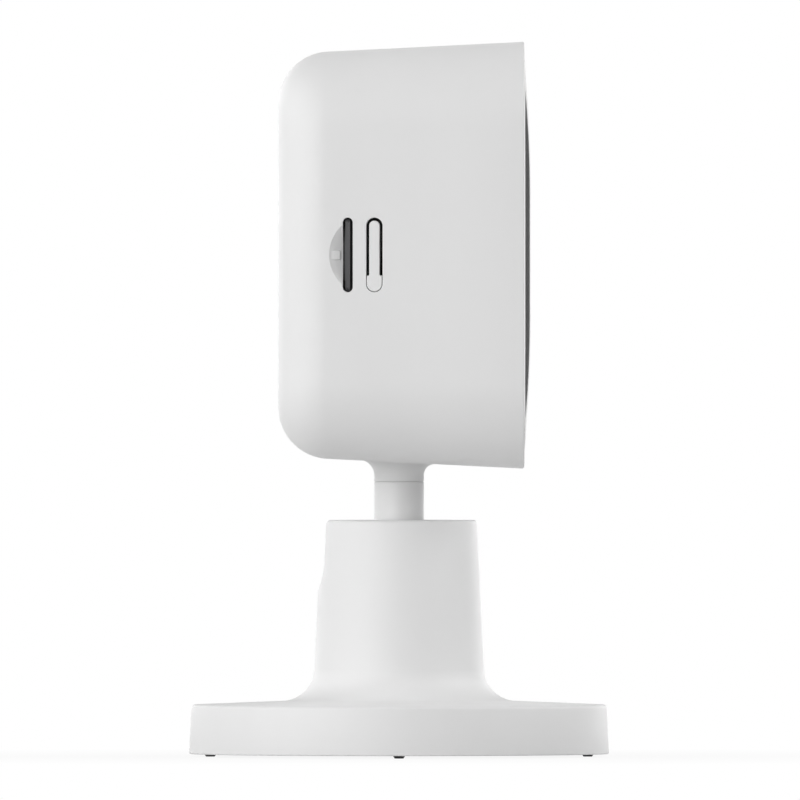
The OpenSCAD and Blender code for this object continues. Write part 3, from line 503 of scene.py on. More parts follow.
class Shape(Nodes):
    """A Geometry Nodes tree with named sizes, that becomes a plain mesh."""

    def __init__(self, name: str, finish: Material | None) -> None:
        """Starts the tree, with the material that it sets."""
        super().__init__(bpy.data.node_groups.new(name, "GeometryNodeTree"))
        self.tree.interface.new_socket("Geometry", in_out="OUTPUT", socket_type="NodeSocketGeometry")
        self.given = self.node("NodeGroupInput")
        self.out = self.node("NodeGroupOutput")
        self.name, self.finish = name, finish
        self.values: dict[str, float] = {}

    def size(self, name: str, value: float) -> None:
        """Adds a named size and its value."""
        item = self.tree.interface.new_socket(name, in_out="INPUT", socket_type="NodeSocketFloat")
        self.values[item.identifier] = value

    def socket(self, name: str) -> NodeSocket:
        """The output that carries a named size."""
        return self.given.outputs[name]

    def joined(self, parts: Sequence[Node]) -> Node:
        """Joins several geometries."""
        made = self.node("GeometryNodeJoinGeometry")
        for part in parts:
            self.give(made.inputs[0], part)
        return made

    def finished(self, geometry: Node) -> Mesh:
        """Realizes the instances, sets the material and gives back a mesh that nothing else uses."""
        real = self.node("GeometryNodeRealizeInstances", Geometry=geometry)
        paint = self.node("GeometryNodeSetMaterial", Geometry=real, Material=self.finish)
        self.give(self.out.inputs[0], paint)
        carrier = linked(self.name, bpy.data.meshes.new(self.name))
        live = carrier.modifiers.new(self.name, "NODES")
        live.node_group = self.tree
        for key, value in self.values.items():
            live[key] = value
        mesh = evaluated(carrier)
        drop(carrier)
        bpy.data.node_groups.remove(self.tree)
        return mesh


# ------------------------------------------------------------------ finishes


def tinted(colour: Point3, by: float, plus: float = 0.0) -> Point3:
    """A colour made lighter or darker."""
    return tuple(min(1.0, c * by + plus) for c in colour)


@dataclass(frozen=True)
class Look:
    """One surface: its name and its main colour."""

    name: str
    colour: Point3

    def made(self) -> Material:
        """Builds the material."""
        sheet = Sheet(self.name)
        self.paint(sheet)
        return sheet.material

    def paint(self, sheet: Sheet) -> None:
        """Adds what is special about the surface."""
        raise NotImplementedError


@dataclass(frozen=True)
class Moulded(Look):
    """Moulded plastic with a fine spark-eroded grain and faint flow marks."""

    roughness: float = 0.5
    grain_per_m: float = 5200.0
    grain_mm: float = 0.006
    shade: float = 0.97

    def paint(self, sheet: Sheet) -> None:
        """Adds flow marks, uneven gloss and two sizes of grain."""
        flow = sheet.ramp(sheet.noise(38.0, 3.0, sheet.mapped((1.0, 1.0, 0.45))), 0.35, 0.65)
        broad = sheet.bump(sheet.noise(self.grain_per_m * 0.3, 1.0), self.grain_mm * 0.8)
        sheet.set(
            Base_Color=sheet.blend(flow, tinted(self.colour, self.shade), self.colour),
            Roughness=sheet.patchy(self.roughness - 0.04, self.roughness + 0.05, 260.0, 3.0),
            IOR=1.5,
            Normal=sheet.bump(sheet.noise(self.grain_per_m), self.grain_mm, broad),
        )


@dataclass(frozen=True)
class Polished(Look):
    """Polished dark acrylic or epoxy, with the faint haze that handling leaves."""

    roughness: float = 0.06
    haze: float = 0.05
    ripple_mm: float = 0.0048

    def paint(self, sheet: Sheet) -> None:
        """Adds clouds, specks and a slow ripple."""
        cloud = sheet.ramp(sheet.noise(55.0, 4.0), 0.4, 0.7)
        specks = sheet.ramp(sheet.noise(900.0), 0.5, 0.8, (self.roughness, self.roughness + self.haze))
        sheet.set(
            Base_Color=sheet.blend(cloud, self.colour, tinted(self.colour, 1.35, 0.002)),
            Roughness=specks,
            IOR=1.49,
            Coat_Weight=0.3,
            Coat_Roughness=0.03,
            Normal=sheet.bump(sheet.noise(120.0, 1.0), self.ripple_mm),
        )


@dataclass(frozen=True)
class Clear(Look):
    """Clear or coated glass with a few dust specks."""

    roughness: float = 0.01
    ior: float = 1.5
    solid: float = 0.0
    glint: Point3 | None = None
    mirror: Point3 = (1.0, 1.0, 1.0)

    def paint(self, sheet: Sheet) -> None:
        """Adds specks and a coating that changes its tint."""
        other = self.glint or tinted(self.colour, 0.93)
        drift = sheet.ramp(sheet.noise(90.0, 1.0), 0.3, 0.7)
        sheet.set(
            Base_Color=sheet.blend(drift, self.colour, other),
            Roughness=sheet.ramp(sheet.noise(700.0), 0.62, 0.8, (self.roughness, self.roughness + 0.06)),
            Transmission_Weight=1.0 - self.solid,
            IOR=self.ior,
            Specular_Tint=self.mirror,
        )


@dataclass(frozen=True)
class Turned(Look):
    """Metal with tool marks, plated, painted, brushed or anodised."""

    roughness: float = 0.3
    metallic: float = 1.0
    marks: Point3 = (40.0, 40.0, 2600.0)
    marks_mm: float = 0.002
    wear: float = 0.12

    def paint(self, sheet: Sheet) -> None:
        """Adds dull patches and tool marks."""
        streaks = sheet.noise(1.0, 3.0, sheet.mapped(self.marks))
        patches = sheet.ramp(sheet.noise(190.0, 4.0), 0.35, 0.7)
        sheet.set(
            Base_Color=sheet.blend(patches, self.colour, tinted(self.colour, 1 - self.wear)),
            Roughness=sheet.ramp(streaks, 0.3, 0.7, (self.roughness - 0.06, self.roughness + 0.06)),
            Metallic=self.metallic,
            Normal=sheet.bump(streaks, self.marks_mm),
        )


@dataclass(frozen=True)
class Laminate(Look):
    """Circuit board: solder mask over tracks, with plated pads in places."""

    track: Point3

    def paint(self, sheet: Sheet) -> None:
        """Adds tracks under the mask and bare pads."""
        flat = sheet.mapped((1.0, 1.0, 1.0), (radians(90), 0.0, 0.0))
        lanes = sheet.node("ShaderNodeTexBrick", Vector=flat, Scale=420.0, Mortar_Size=0.035,
                           Mortar_Smooth=0.1, Brick_Width=1.9, Row_Height=0.42)
        cells = sheet.node("ShaderNodeTexVoronoi", feature="F1", distance="CHEBYCHEV",
                           Vector=flat, Scale=520.0, Randomness=0.35)
        spots = sheet.ramp(cells.outputs["Distance"], 0.16, 0.2, (1.0, 0.0))
        pads = sheet.maths("MULTIPLY", spots, sheet.ramp(sheet.noise(110.0, 1.0), 0.52, 0.56))
        zones = sheet.ramp(sheet.noise(75.0, 1.0), 0.44, 0.5)
        tracks = sheet.maths("MULTIPLY", lanes.outputs["Fac"], zones)
        covered = sheet.blend(tracks, self.colour, tinted(self.colour, 1.9, 0.01))
        sheet.set(
            Base_Color=sheet.blend(pads, covered, self.track),
            Metallic=pads,
            Roughness=sheet.ramp(pads, 0.0, 1.0, (0.32, 0.24)),
            Normal=sheet.bump(sheet.maths("ADD", tracks, pads), 0.03),
        )


@dataclass(frozen=True)
class Soft(Look):
    """Rubber or foam: dull, with open pores and rubbed high spots."""

    pores_per_m: float = 3000.0
    pores_mm: float = 0.02
    roughness: float = 0.78

    def paint(self, sheet: Sheet) -> None:
        """Adds pores and worn spots."""
        pores = sheet.noise(self.pores_per_m, 3.0)
        worn = sheet.ramp(pores, 0.5, 0.75)
        sheet.set(
            Base_Color=sheet.blend(worn, self.colour, tinted(self.colour, 1.6, 0.01)),
            Roughness=sheet.patchy(self.roughness - 0.08, self.roughness + 0.08, 300.0),
            Sheen_Weight=0.1,
            Normal=sheet.bump(pores, self.pores_mm),
        )


@dataclass(frozen=True)
class Striped(Look):
    """Film with copper lines, or wound wire: fine lines across one axis."""

    line: Point3
    per_m: float
    axis: str
    metallic: float
    relief_mm: float = 0.01

    def paint(self, sheet: Sheet) -> None:
        """Adds the lines and their relief."""
        wave = sheet.node("ShaderNodeTexWave", wave_type="BANDS", bands_direction=self.axis,
                          Vector=sheet.place, Scale=self.per_m, Distortion=0.0).outputs["Fac"]
        lines = sheet.ramp(wave, 0.45, 0.6)
        sheet.set(
            Base_Color=sheet.blend(lines, self.colour, self.line),
            Roughness=sheet.patchy(0.28, 0.4, 400.0),
            Metallic=sheet.ramp(lines, 0.0, 1.0, (0.0, self.metallic)),
            Normal=sheet.bump(wave, self.relief_mm),
        )


class Finish(Enum):
    """Every finish on the camera, by what it is on."""

    SHELL = Moulded("white_moulding", (0.80, 0.80, 0.80), 0.5)
    PLATE = Moulded("white_plate", (0.74, 0.74, 0.74), 0.55, 3600.0, 0.012)
    IVORY = Moulded("slippery_ivory", (0.66, 0.63, 0.55), 0.36, 2600.0, 0.004)
    BLACK = Moulded("black_moulding", (0.012, 0.012, 0.013), 0.5, 4200.0, 0.008, 0.8)
    GREY = Moulded("grey_moulding", (0.16, 0.16, 0.165), 0.5, 3400.0, 0.008, 0.9)
    CARD = Moulded("card_black", (0.06, 0.06, 0.063), 0.42, 5200.0, 0.004, 0.9)
    CONE = Moulded("cone_film", (0.02, 0.02, 0.022), 0.45, 1500.0, 0.02, 0.8)
    WINDOW = Polished("window_acrylic", (0.006, 0.006, 0.007), 0.07)
    LAMP = Polished("lamp_epoxy", (0.035, 0.006, 0.008), 0.08)
    SENSOR = Polished("sensor_top", (0.012, 0.016, 0.05), 0.05)
    CHIP = Moulded("chip_body", (0.018, 0.018, 0.02), 0.42, 3800.0, 0.005, 0.85)
    STATUS = Moulded("status_chip", (0.75, 0.72, 0.45), 0.3, 3000.0, 0.002)
    COVER = Clear("cover_glass", (0.93, 0.95, 0.97), 0.01, 1.38)
    LENS = Clear("lens_glass", (0.13, 0.08, 0.22), 0.01, 1.6, 0.2, (0.05, 0.12, 0.2), (0.72, 0.6, 1.0))
    FILTER = Clear("filter_glass", (0.8, 0.9, 0.93), 0.02, 1.5, 0.1, (0.9, 0.75, 0.8))
    STEEL = Turned("plated_steel", (0.56, 0.57, 0.58), 0.28)
    TIN = Turned("tinned_sheet", (0.68, 0.68, 0.66), 0.32, 1.0, (900.0, 40.0, 40.0))
    BRASS = Turned("bare_brass", (0.72, 0.53, 0.25), 0.3)
    DARK_METAL = Turned("anodised_black", (0.02, 0.02, 0.022), 0.38, 0.8, (60.0, 3800.0, 60.0), 0.004)
    BALLAST = Turned("black_oxide", (0.09, 0.09, 0.095), 0.55, 0.9, (500.0, 500.0, 60.0), 0.012, 0.3)
    PAINT = Turned("satin_white_paint", (0.80, 0.80, 0.80), 0.45, 0.0, (900.0, 900.0, 900.0), 0.003, 0.03)
    BOARD = Laminate("board_mask", (0.008, 0.055, 0.03), (0.75, 0.6, 0.3))
    RUBBER = Soft("soft_rubber", (0.022, 0.022, 0.023))
    FOAM = Soft("black_foam", (0.03, 0.03, 0.032), 1800.0, 0.08, 0.9)
    FILM = Striped("amber_film", (0.42, 0.19, 0.03), (0.5, 0.26, 0.08), 520.0, "X", 0.6)
    AERIAL = Striped("aerial_film", (0.38, 0.18, 0.04), (0.55, 0.3, 0.12), 130.0, "Z", 0.7)
    COIL = Striped("coil_wire", (0.2, 0.07, 0.03), (0.62, 0.3, 0.16), 900.0, "Z", 0.9, 0.06)


KEPT_NODES = {
    Finish.BLACK: ("front_frame", "lens_holder", "card_socket", "reset_switch", "speaker_basket"),
    Finish.SENSOR: ("image_sensor", "light_sensor"),
    Finish.COIL: ("filter_coil",),
    Finish.GREY: ("filter_carriage", "socket_retainer"),
    Finish.FILTER: ("filter_panes",),
    Finish.BOARD: ("light_board", "main_board"),
    Finish.STATUS: ("status_lamp",),
    Finish.COVER: ("light_pipe",),
    Finish.BRASS: ("microphone", "swivel_nut"),
    Finish.RUBBER: ("microphone_boot",),
    Finish.TIN: ("shield_can", "power_inlet"),
    Finish.IVORY: ("board_connectors", "switch_plunger", "thrust_washer", "socket_cup"),
    Finish.FILM: ("ribbon_cable",),
    Finish.AERIAL: ("wifi_antenna",),
    Finish.STEEL: ("speaker_magnet", "wave_washer", "disc_springs"),
    Finish.FOAM: ("speaker_gasket",),
    Finish.BALLAST: ("ballast_ring",),
    Finish.PLATE: ("bottom_plate",),
}


@dataclass
class Build:
    """What every sub-assembly needs: the frame, the head's place and the materials made so far."""

    frame: dict
    head: Matrix
    materials: dict[Finish, Material] = field(default_factory=dict)
    count: int = 0

    def material(self, finish: Finish) -> Material:
        """The material of a finish, which is made once."""
        if finish not in self.materials:
            self.materials[finish] = finish.value.made()
        return self.materials[finish]

    def keep(self, piece: Object, body: str, finish: Finish | None, slot: str, *nodes: str) -> None:
        """Dresses a new piece, ties it to its body and lets it stand for nodes.

        Args:
            piece: The piece.
            body: The body that it rides on.
            finish: Its finish, or None where it has one.
            slot: The record's material slot; not used.
            *nodes: The nodes that it stands for.
        """
        if finish is not None:
            piece.data.materials.clear()
            piece.data.materials.append(self.material(finish))
        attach(piece, body)
        if nodes:
            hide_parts(*nodes)
        self.count += 1
        LOG.info("piece %s on %s: %d faces, for %s", piece.name, body, len(piece.data.polygons),
                 ", ".join(nodes) or "detail")

    def repeat(self, name: str, one: Object, places: Iterable[Point3], finish: Finish,
               body: str, slot: str, *nodes: str) -> None:
        """Sets copies of one piece at places on the head or the stand, and keeps them as a piece.

        Args:
            name: The new piece's name.
            one: The object to repeat, placed about the origin.
            places: Places in the head's or the stand's measures.
            finish: The finish.
            body: The body that the copies ride on.
            slot: The record's material slot.
            *nodes: The nodes that they stand for.
        """
        frame = self.head if body == "head" else Matrix()
        spots = [frame @ Vector(place) * MM for place in places]
        self.keep(scattered(name, one, spots, self.material(finish)), body, None, slot, *nodes)

    def finish_nodes(self) -> None:
        """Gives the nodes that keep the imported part's shape their finish."""
        for finish, nodes in KEPT_NODES.items():
            for node in nodes:
                for held in self.frame["nodes"][node].material_slots:
                    held.material = self.material(finish)
                LOG.info("node %s: %s", node, finish.name.lower())


# ------------------------------------------------------------ repeated pieces


@dataclass(frozen=True)
class Rings:
    """Rings of small holes round a middle one, as one set of rods along Y."""

    rings: int
    pitch: float
    radius: float
    depth: float
    sides: int = 14

    def made(self, name: str, at: Vector) -> Object:
        """Builds the rods.

        Args:
            name: The object's name.
            at: Middle of the rods in the frame, in metres.

        Returns:
            The rods as one object.
        """
        shape = Shape(name, None)
        shape.size("Pitch", self.pitch * MM)
        shape.size("Hole radius", self.radius * MM)
        shape.size("Depth", self.depth * MM)
        rod = shape.node("GeometryNodeMeshCylinder", Vertices=self.sides,
                         Radius=shape.socket("Hole radius"), Depth=shape.socket("Depth"))
        spots = [shape.node("GeometryNodeMeshLine", Count=1)]
        for k in range(1, self.rings + 1):
            r = shape.maths("MULTIPLY", shape.socket("Pitch"), float(k))
            spots.append(shape.node("GeometryNodeMeshCircle", Vertices=6 * k, Radius=r))
        rods = shape.node("GeometryNodeInstanceOnPoints", Points=shape.joined(spots), Instance=rod)
        mesh = shape.finished(rods)
        mesh.transform(Matrix.Translation(at) @ Matrix.Rotation(radians(90), 4, "X"))
        return shown(name, mesh)


@dataclass(frozen=True)
class Fastener:
    """A small pan or countersunk screw with a cross recess."""

    head_r: float
    head_h: float
    shank_r: float
    length: float
    sunk: bool = False
    pitch: float = 0.44
    root: float = 0.82
    round_r: float = 0.45
    recess_reach: float = 0.62
    recess_width: float = 0.17
    sides: int = 20

    def made(self, turn: float) -> Object:
        """Builds one screw with its head's top at the origin.

        Args:
            turn: Degrees about X from a shank along -Z to its real direction.

        Returns:
            The screw.
        """
        r, h, shank_r = self.head_r, self.head_h, self.shank_r
        if self.sunk:
            profile = [(0.0, 0.0), (r - 0.06, 0.0), (r, -0.06), (shank_r, -h)]
        else:
            edge = arc((r - self.round_r, -self.round_r), self.round_r, 90, 0, 5)
            profile = [(0.0, 0.0), *edge, (r, -h), (shank_r, -h)]
        z = -h
        while z > -self.length + 0.5:
            profile += [(shank_r, z - 0.08), (shank_r * self.root, z - 0.26), (shank_r, z - self.pitch)]
            z -= self.pitch
        profile += [(shank_r * 0.5, -self.length), (0.0, -self.length)]
        arm, wide = r * self.recess_reach, r * self.recess_width
        bars = []
        for angle in (0, 90):
            levels = [(arm * k, wide * k, z) for k, z in ((1.1, 0.2), (0.45, -min(0.75, h * 0.8)))]
            bar = Sketch().loft([[(-x, -y, z), (x, -y, z), (x, y, z), (-x, y, z)] for x, y, z in levels])
            bars.append(bar.made(f"bar_{angle}", Matrix.Rotation(radians(angle), 4, "Z")))
        screw = carved(Sketch().turned(profile, self.sides).made("screw"), bars)
        screw.data.transform(Matrix.Rotation(radians(turn), 4, "X"))
        return screw


def scattered(name: str, one: Object, spots: Sequence[Vector], finish: Material) -> Object:
    """Repeats one object with Geometry Nodes and throws the one away.

    Args:
        name: The new object's name.
        one: The object to repeat, placed about the origin.
        spots: Places in the frame, in metres.
        finish: The material.

    Returns:
        All the copies as one object.
    """
    shape = Shape(name, finish)
    shape.size("Scale", 1.0)
    points = bpy.data.meshes.new("spots")
    points.from_pydata([tuple(s) for s in spots], [], [])
    holder = linked("spots", points)
    where = shape.node("GeometryNodeObjectInfo", Object=holder)
    what = shape.node("GeometryNodeObjectInfo", Object=one)
    copies = shape.node("GeometryNodeInstanceOnPoints", Points=where.outputs["Geometry"],
                        Instance=what.outputs["Geometry"], Scale=shape.socket("Scale"))
    mesh = shape.finished(copies)
    drop(holder)
    drop(one)
    return shown(name, mesh)


# ------------------------------------------------------------------ the head


@dataclass
class HeadShell:
    """The white bucket of the head, its collar and all its openings."""

    place: Matrix = field(default_factory=Matrix)
    side: float = 64.0
    depth: float = 36.9
    draft: float = 2.85
    corner_r: float = 13.0
    back_r: float = 7.75
    edge: float = 0.3
    wall: float = 2.0
    ledge: float = 0.6
    ledge_y: float = 7.0
    setback: float = 18.8
    neck_r: float = 3.75
    collar_h: float = 2.9
    flare: float = 1.9
    bore_r: float = 2.35
    boss_r: float = 4.6
    boss_h: float = 3.5
    slot_w: float = 1.5
    slot_l: float = 11.14
    card_y: float = 26.48
    key_y: float = 22.5
    key_w: float = 2.45
    lip_fall: float = 1.4
    scoop_r: float = 6.0
    scoop_reach: float = 2.05
    scoop_falls: tuple[Point2, ...] = ((0.25, 42.0), (0.8, 34.0), (0.6, 29.0), (0.45, 20.0), (0.35, 8.0))
    speaker_z: float = 7.0
    speaker_holes: Rings = Rings(3, 2.2, 0.55, 6.0)
    inlet_z: float = -18.0
    inlet_recess: Point3 = (13.0, 7.5, 3.74)
    inlet_mouth: Point3 = (9.14, 3.4, 1.69)
    board_screw_at: float = 20.0

    @classmethod
    def on_frame(cls) -> HeadShell:
        """The shell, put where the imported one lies."""
        low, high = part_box("head_shell")
        shell = cls()
        shell.place = Matrix.Translation(
            (0.0, low.y / MM, high.z / MM + shell.edge * shell.slope - shell.half)
        )
        return shell

    @property
    def half(self) -> float:
        """Half the head's width."""
        return self.side / 2

    @property
    def slope(self) -> float:
        """Fall of a wall for each millimetre of depth."""
        return tan(radians(self.draft))

    @property
    def underside(self) -> float:
        """Height of the underside at the neck's axis."""
        return -(self.half - self.setback * self.slope)

    def bend_at(self, r: float, depth: float, bend: float) -> float:
        """Offset of an edge radius that touches the wall from inside, at one depth."""
        return r - depth * self.slope - bend / cos(radians(self.draft))

    def section(self, inset: float, back: float, steps: int) -> list[Point2]:
        """Wall section from the draft into the back radius, as (offset, depth)."""
        bend = self.back_r - inset
        turn = self.depth - back - bend
        at = self.bend_at(self.corner_r - inset, turn, bend)
        return [*arc((at, turn), bend, self.draft, 90, steps), (0.0, self.depth - back)]

    def ring(self, offset: float, y: float) -> list[Point3]:
        """The rounded square at one point of the wall section."""
        r = max(offset, 0.0)
        width = 2 * (self.half - self.corner_r + r)
        return [(x, y, z) for x, z in rounded(width, width, r + 1e-5, 22, 5)]

    def on_side(self, y: float) -> Matrix:
        """Frame on the -X wall: Z outwards, X along the depth and Y up."""
        a = radians(self.draft)
        deep, up, out = Vector((sin(a), cos(a), 0)), Vector((0, 0, 1)), Vector((-cos(a), sin(a), 0))
        turn = Matrix((deep, up, out)).transposed().to_4x4()
        return self.place @ Matrix.Translation((-(self.half - y * self.slope), y, 0)) @ turn

    def punch(self, name: str, outline: Outline, at: Matrix, deep: float, lip: float) -> Object:
        """A cutter with a softly flared mouth.

        Args:
            name: The object's name.
            outline: The opening's outline.
            at: Frame with Z out of the surface.
            deep: How far it cuts in.
            lip: Width of the flare.

        Returns:
            The cutter.
        """
        fall, proud = lip * self.lip_fall, 0.004
        levels = [(0.0, -deep), (0.0, -fall)]
        for a in (radians(30), radians(60), radians(90)):
            levels.append((lip * (1 - cos(a)), proud - fall * (1 - sin(a))))
        levels.append((lip, 1.0))
        rings = ((shrunk(outline, -by) if by else outline, z) for by, z in levels)
        return Sketch().stacked(rings).made(name, at)

    def scoop(self) -> Object:
        """Cutter of the finger scoop behind the card slot."""
        place = self.on_side(self.card_y + self.slot_w / 2 + self.scoop_reach - self.scoop_r)
        bowl = [(self.scoop_r, 0.0)]
        for run, fall in self.scoop_falls:
            r, z = bowl[-1]
            bowl.append((r - run, z - run * tan(radians(fall))))
        brim = self.scoop_r + 0.06
        profile = [(0.0, bowl[-1][1]), *reversed(bowl), (brim, 0.12), (brim, 1.0), (0.0, 1.0)]
        cutter = Sketch().turned(profile, 96).made("scoop", place)
        work = bmesh.new()
        work.from_mesh(cutter.data)
        middle = self.place @ Vector((0, self.card_y, 0)) * MM
        parts = [*work.verts, *work.edges, *work.faces]
        front = (0, -1, 0)
        cut = bmesh.ops.bisect_plane(work, geom=parts, plane_co=middle, plane_no=front, clear_outer=True)
        rim = [e for e in cut["geom_cut"] if isinstance(e, bmesh.types.BMEdge)]
        bmesh.ops.holes_fill(work, edges=rim, sides=0)
        outwards(work)
        work.to_mesh(cutter.data)
        work.free()
        return carved(cutter, [self.land(place)])

    def land(self, place: Matrix) -> Object:
        """Raised land in the middle of the scoop, where a nail meets the card."""
        far, near, half = self.scoop_r - 0.3, self.scoop_r - 1.6, 0.6
        foot, far_top, near_top, bevel, step = -3.0, -0.26, -0.72, 0.08, 0.1
        levels = []
        for y, low in ((-half - bevel, step), (-half, 0.0), (half, 0.0), (half + bevel, step)):
            levels.append(([(near, foot), (far, foot), (far, far_top - low), (near, near_top - low)], y))
        return Sketch().stacked(levels, 1).made("scoop_land", place)

    def wall_path(self) -> list[Point2]:
        """The wall's section from inside the back, round the front edge and to the back again."""
        pocket, deep, e = self.corner_r - self.wall, self.ledge_y, self.edge
        path = self.section(self.wall + self.ledge, self.wall, 12)[::-1]
        path += [(pocket - self.ledge - deep * self.slope, deep), (pocket - deep * self.slope, deep)]
        path += [(pocket - 0.15 * self.slope, 0.15), (pocket + 0.05, 0.04), (pocket + 0.15, 0.0)]
        path += arc((self.bend_at(self.corner_r, e, e), e), e, 270, 360 + self.draft, 8)
        path += [(self.corner_r - y * self.slope, y) for y in (6.0, 12.0, 18.0, 24.0)]
        return path + self.section(0.0, 0.0, 26)

    def shell(self) -> Object:
        """The bucket with every opening cut."""
        shell = Sketch().loft([self.ring(x, y) for x, y in self.wall_path()]).made("head_skin", self.place)
        back = self.place @ Matrix.Translation((0, self.depth, 0)) @ Matrix.Rotation(radians(-90), 4, "X")
        inlet = back @ Matrix.Translation((0, -self.inlet_z, 0))
        speaker = self.place @ Vector((0, self.depth, self.speaker_z)) * MM
        neck_r, reach = self.boss_r - 0.3, 4.0
        neck = Sketch().turned([(0.0, -reach), (neck_r, -reach), (neck_r, reach), (0.0, reach)], 48)
        cutters = [
            self.punch("card_mouth", pill(self.slot_w, self.slot_l), self.on_side(self.card_y), 4.0, 0.06),
            self.punch("key_mouth", pill(self.key_w, self.slot_l), self.on_side(self.key_y), 4.0, 0.09),
            self.scoop(),
            self.punch("inlet_recess", rounded(*self.inlet_recess, 20), inlet, 1.0, 0.22),
            self.punch("inlet_mouth", rounded(*self.inlet_mouth, 16), inlet, 6.0, 0.05),
            self.speaker_holes.made("speaker_holes", speaker),
            neck.made("neck_mouth", self.place @ Matrix.Translation((0, self.setback, self.underside))),
        ]
        return carved(shell, cutters, 13.0)

    def collar(self) -> Object:
        """Collar with its flare, which meets the sloping underside smoothly."""
        top, foot = self.underside, self.underside - self.collar_h
        wide, inside = self.neck_r + self.flare, top + self.wall + self.ledge + self.boss_h
        profile = [(self.bore_r, foot + 0.15), (self.bore_r + 0.15, foot), (self.neck_r - 0.07, foot)]
        profile += [(self.neck_r - 0.02, foot + 0.02), (self.neck_r, foot + 0.07)]
        profile += arc((wide, top - self.flare), self.flare, 180, 90, 20)
        profile += [(wide, top + 1.0), (self.boss_r, top + 1.0)]
        profile += [(self.boss_r, inside), (self.bore_r, inside)]

        def follow(v: Vector) -> Vector:
            """Lets the flare's top follow the slope of the underside."""
            share = min(1.0, max(0.0, (v.z - (top - self.flare)) / self.flare))
            if v.z > top + 0.5 or hypot(v.x, v.y) < self.neck_r - 0.01:
                return v
            return v + Vector((0, 0, v.y * self.slope * share * share))

        sketch = Sketch().turned(profile, 96, follow)
        return sketch.made("head_collar", self.place @ Matrix.Translation((0, self.setback, 0)))

    def bosses(self) -> Object:
        """Posts for the board's screws and the ring that holds the speaker."""
        sketch = Sketch()
        post = along_y([(0.85, 25.5), (0.85, 33.0), (3.0, 35.0), (3.0, 25.8), (2.7, 25.5)], 40)
        for spot in square_of(self.board_screw_at, 0.0):
            sketch.add(post, Matrix.Translation(spot))
        hoop = along_y([(14.2, 31.7), (14.2, 35.0), (15.2, 35.0), (15.2, 31.9), (15.0, 31.7)])
        sketch.add(hoop, Matrix.Translation((0, 0, self.speaker_z)))
        return sketch.made("head_bosses", self.place)

    def make(self, build: Build) -> None:
        """Makes the shell's pieces."""
        build.keep(self.shell(), "head", Finish.SHELL, "white_shell", "head_shell")
        build.keep(self.collar(), "head", Finish.SHELL, "white_shell")
        build.keep(self.bosses(), "head", Finish.SHELL, "white_shell")


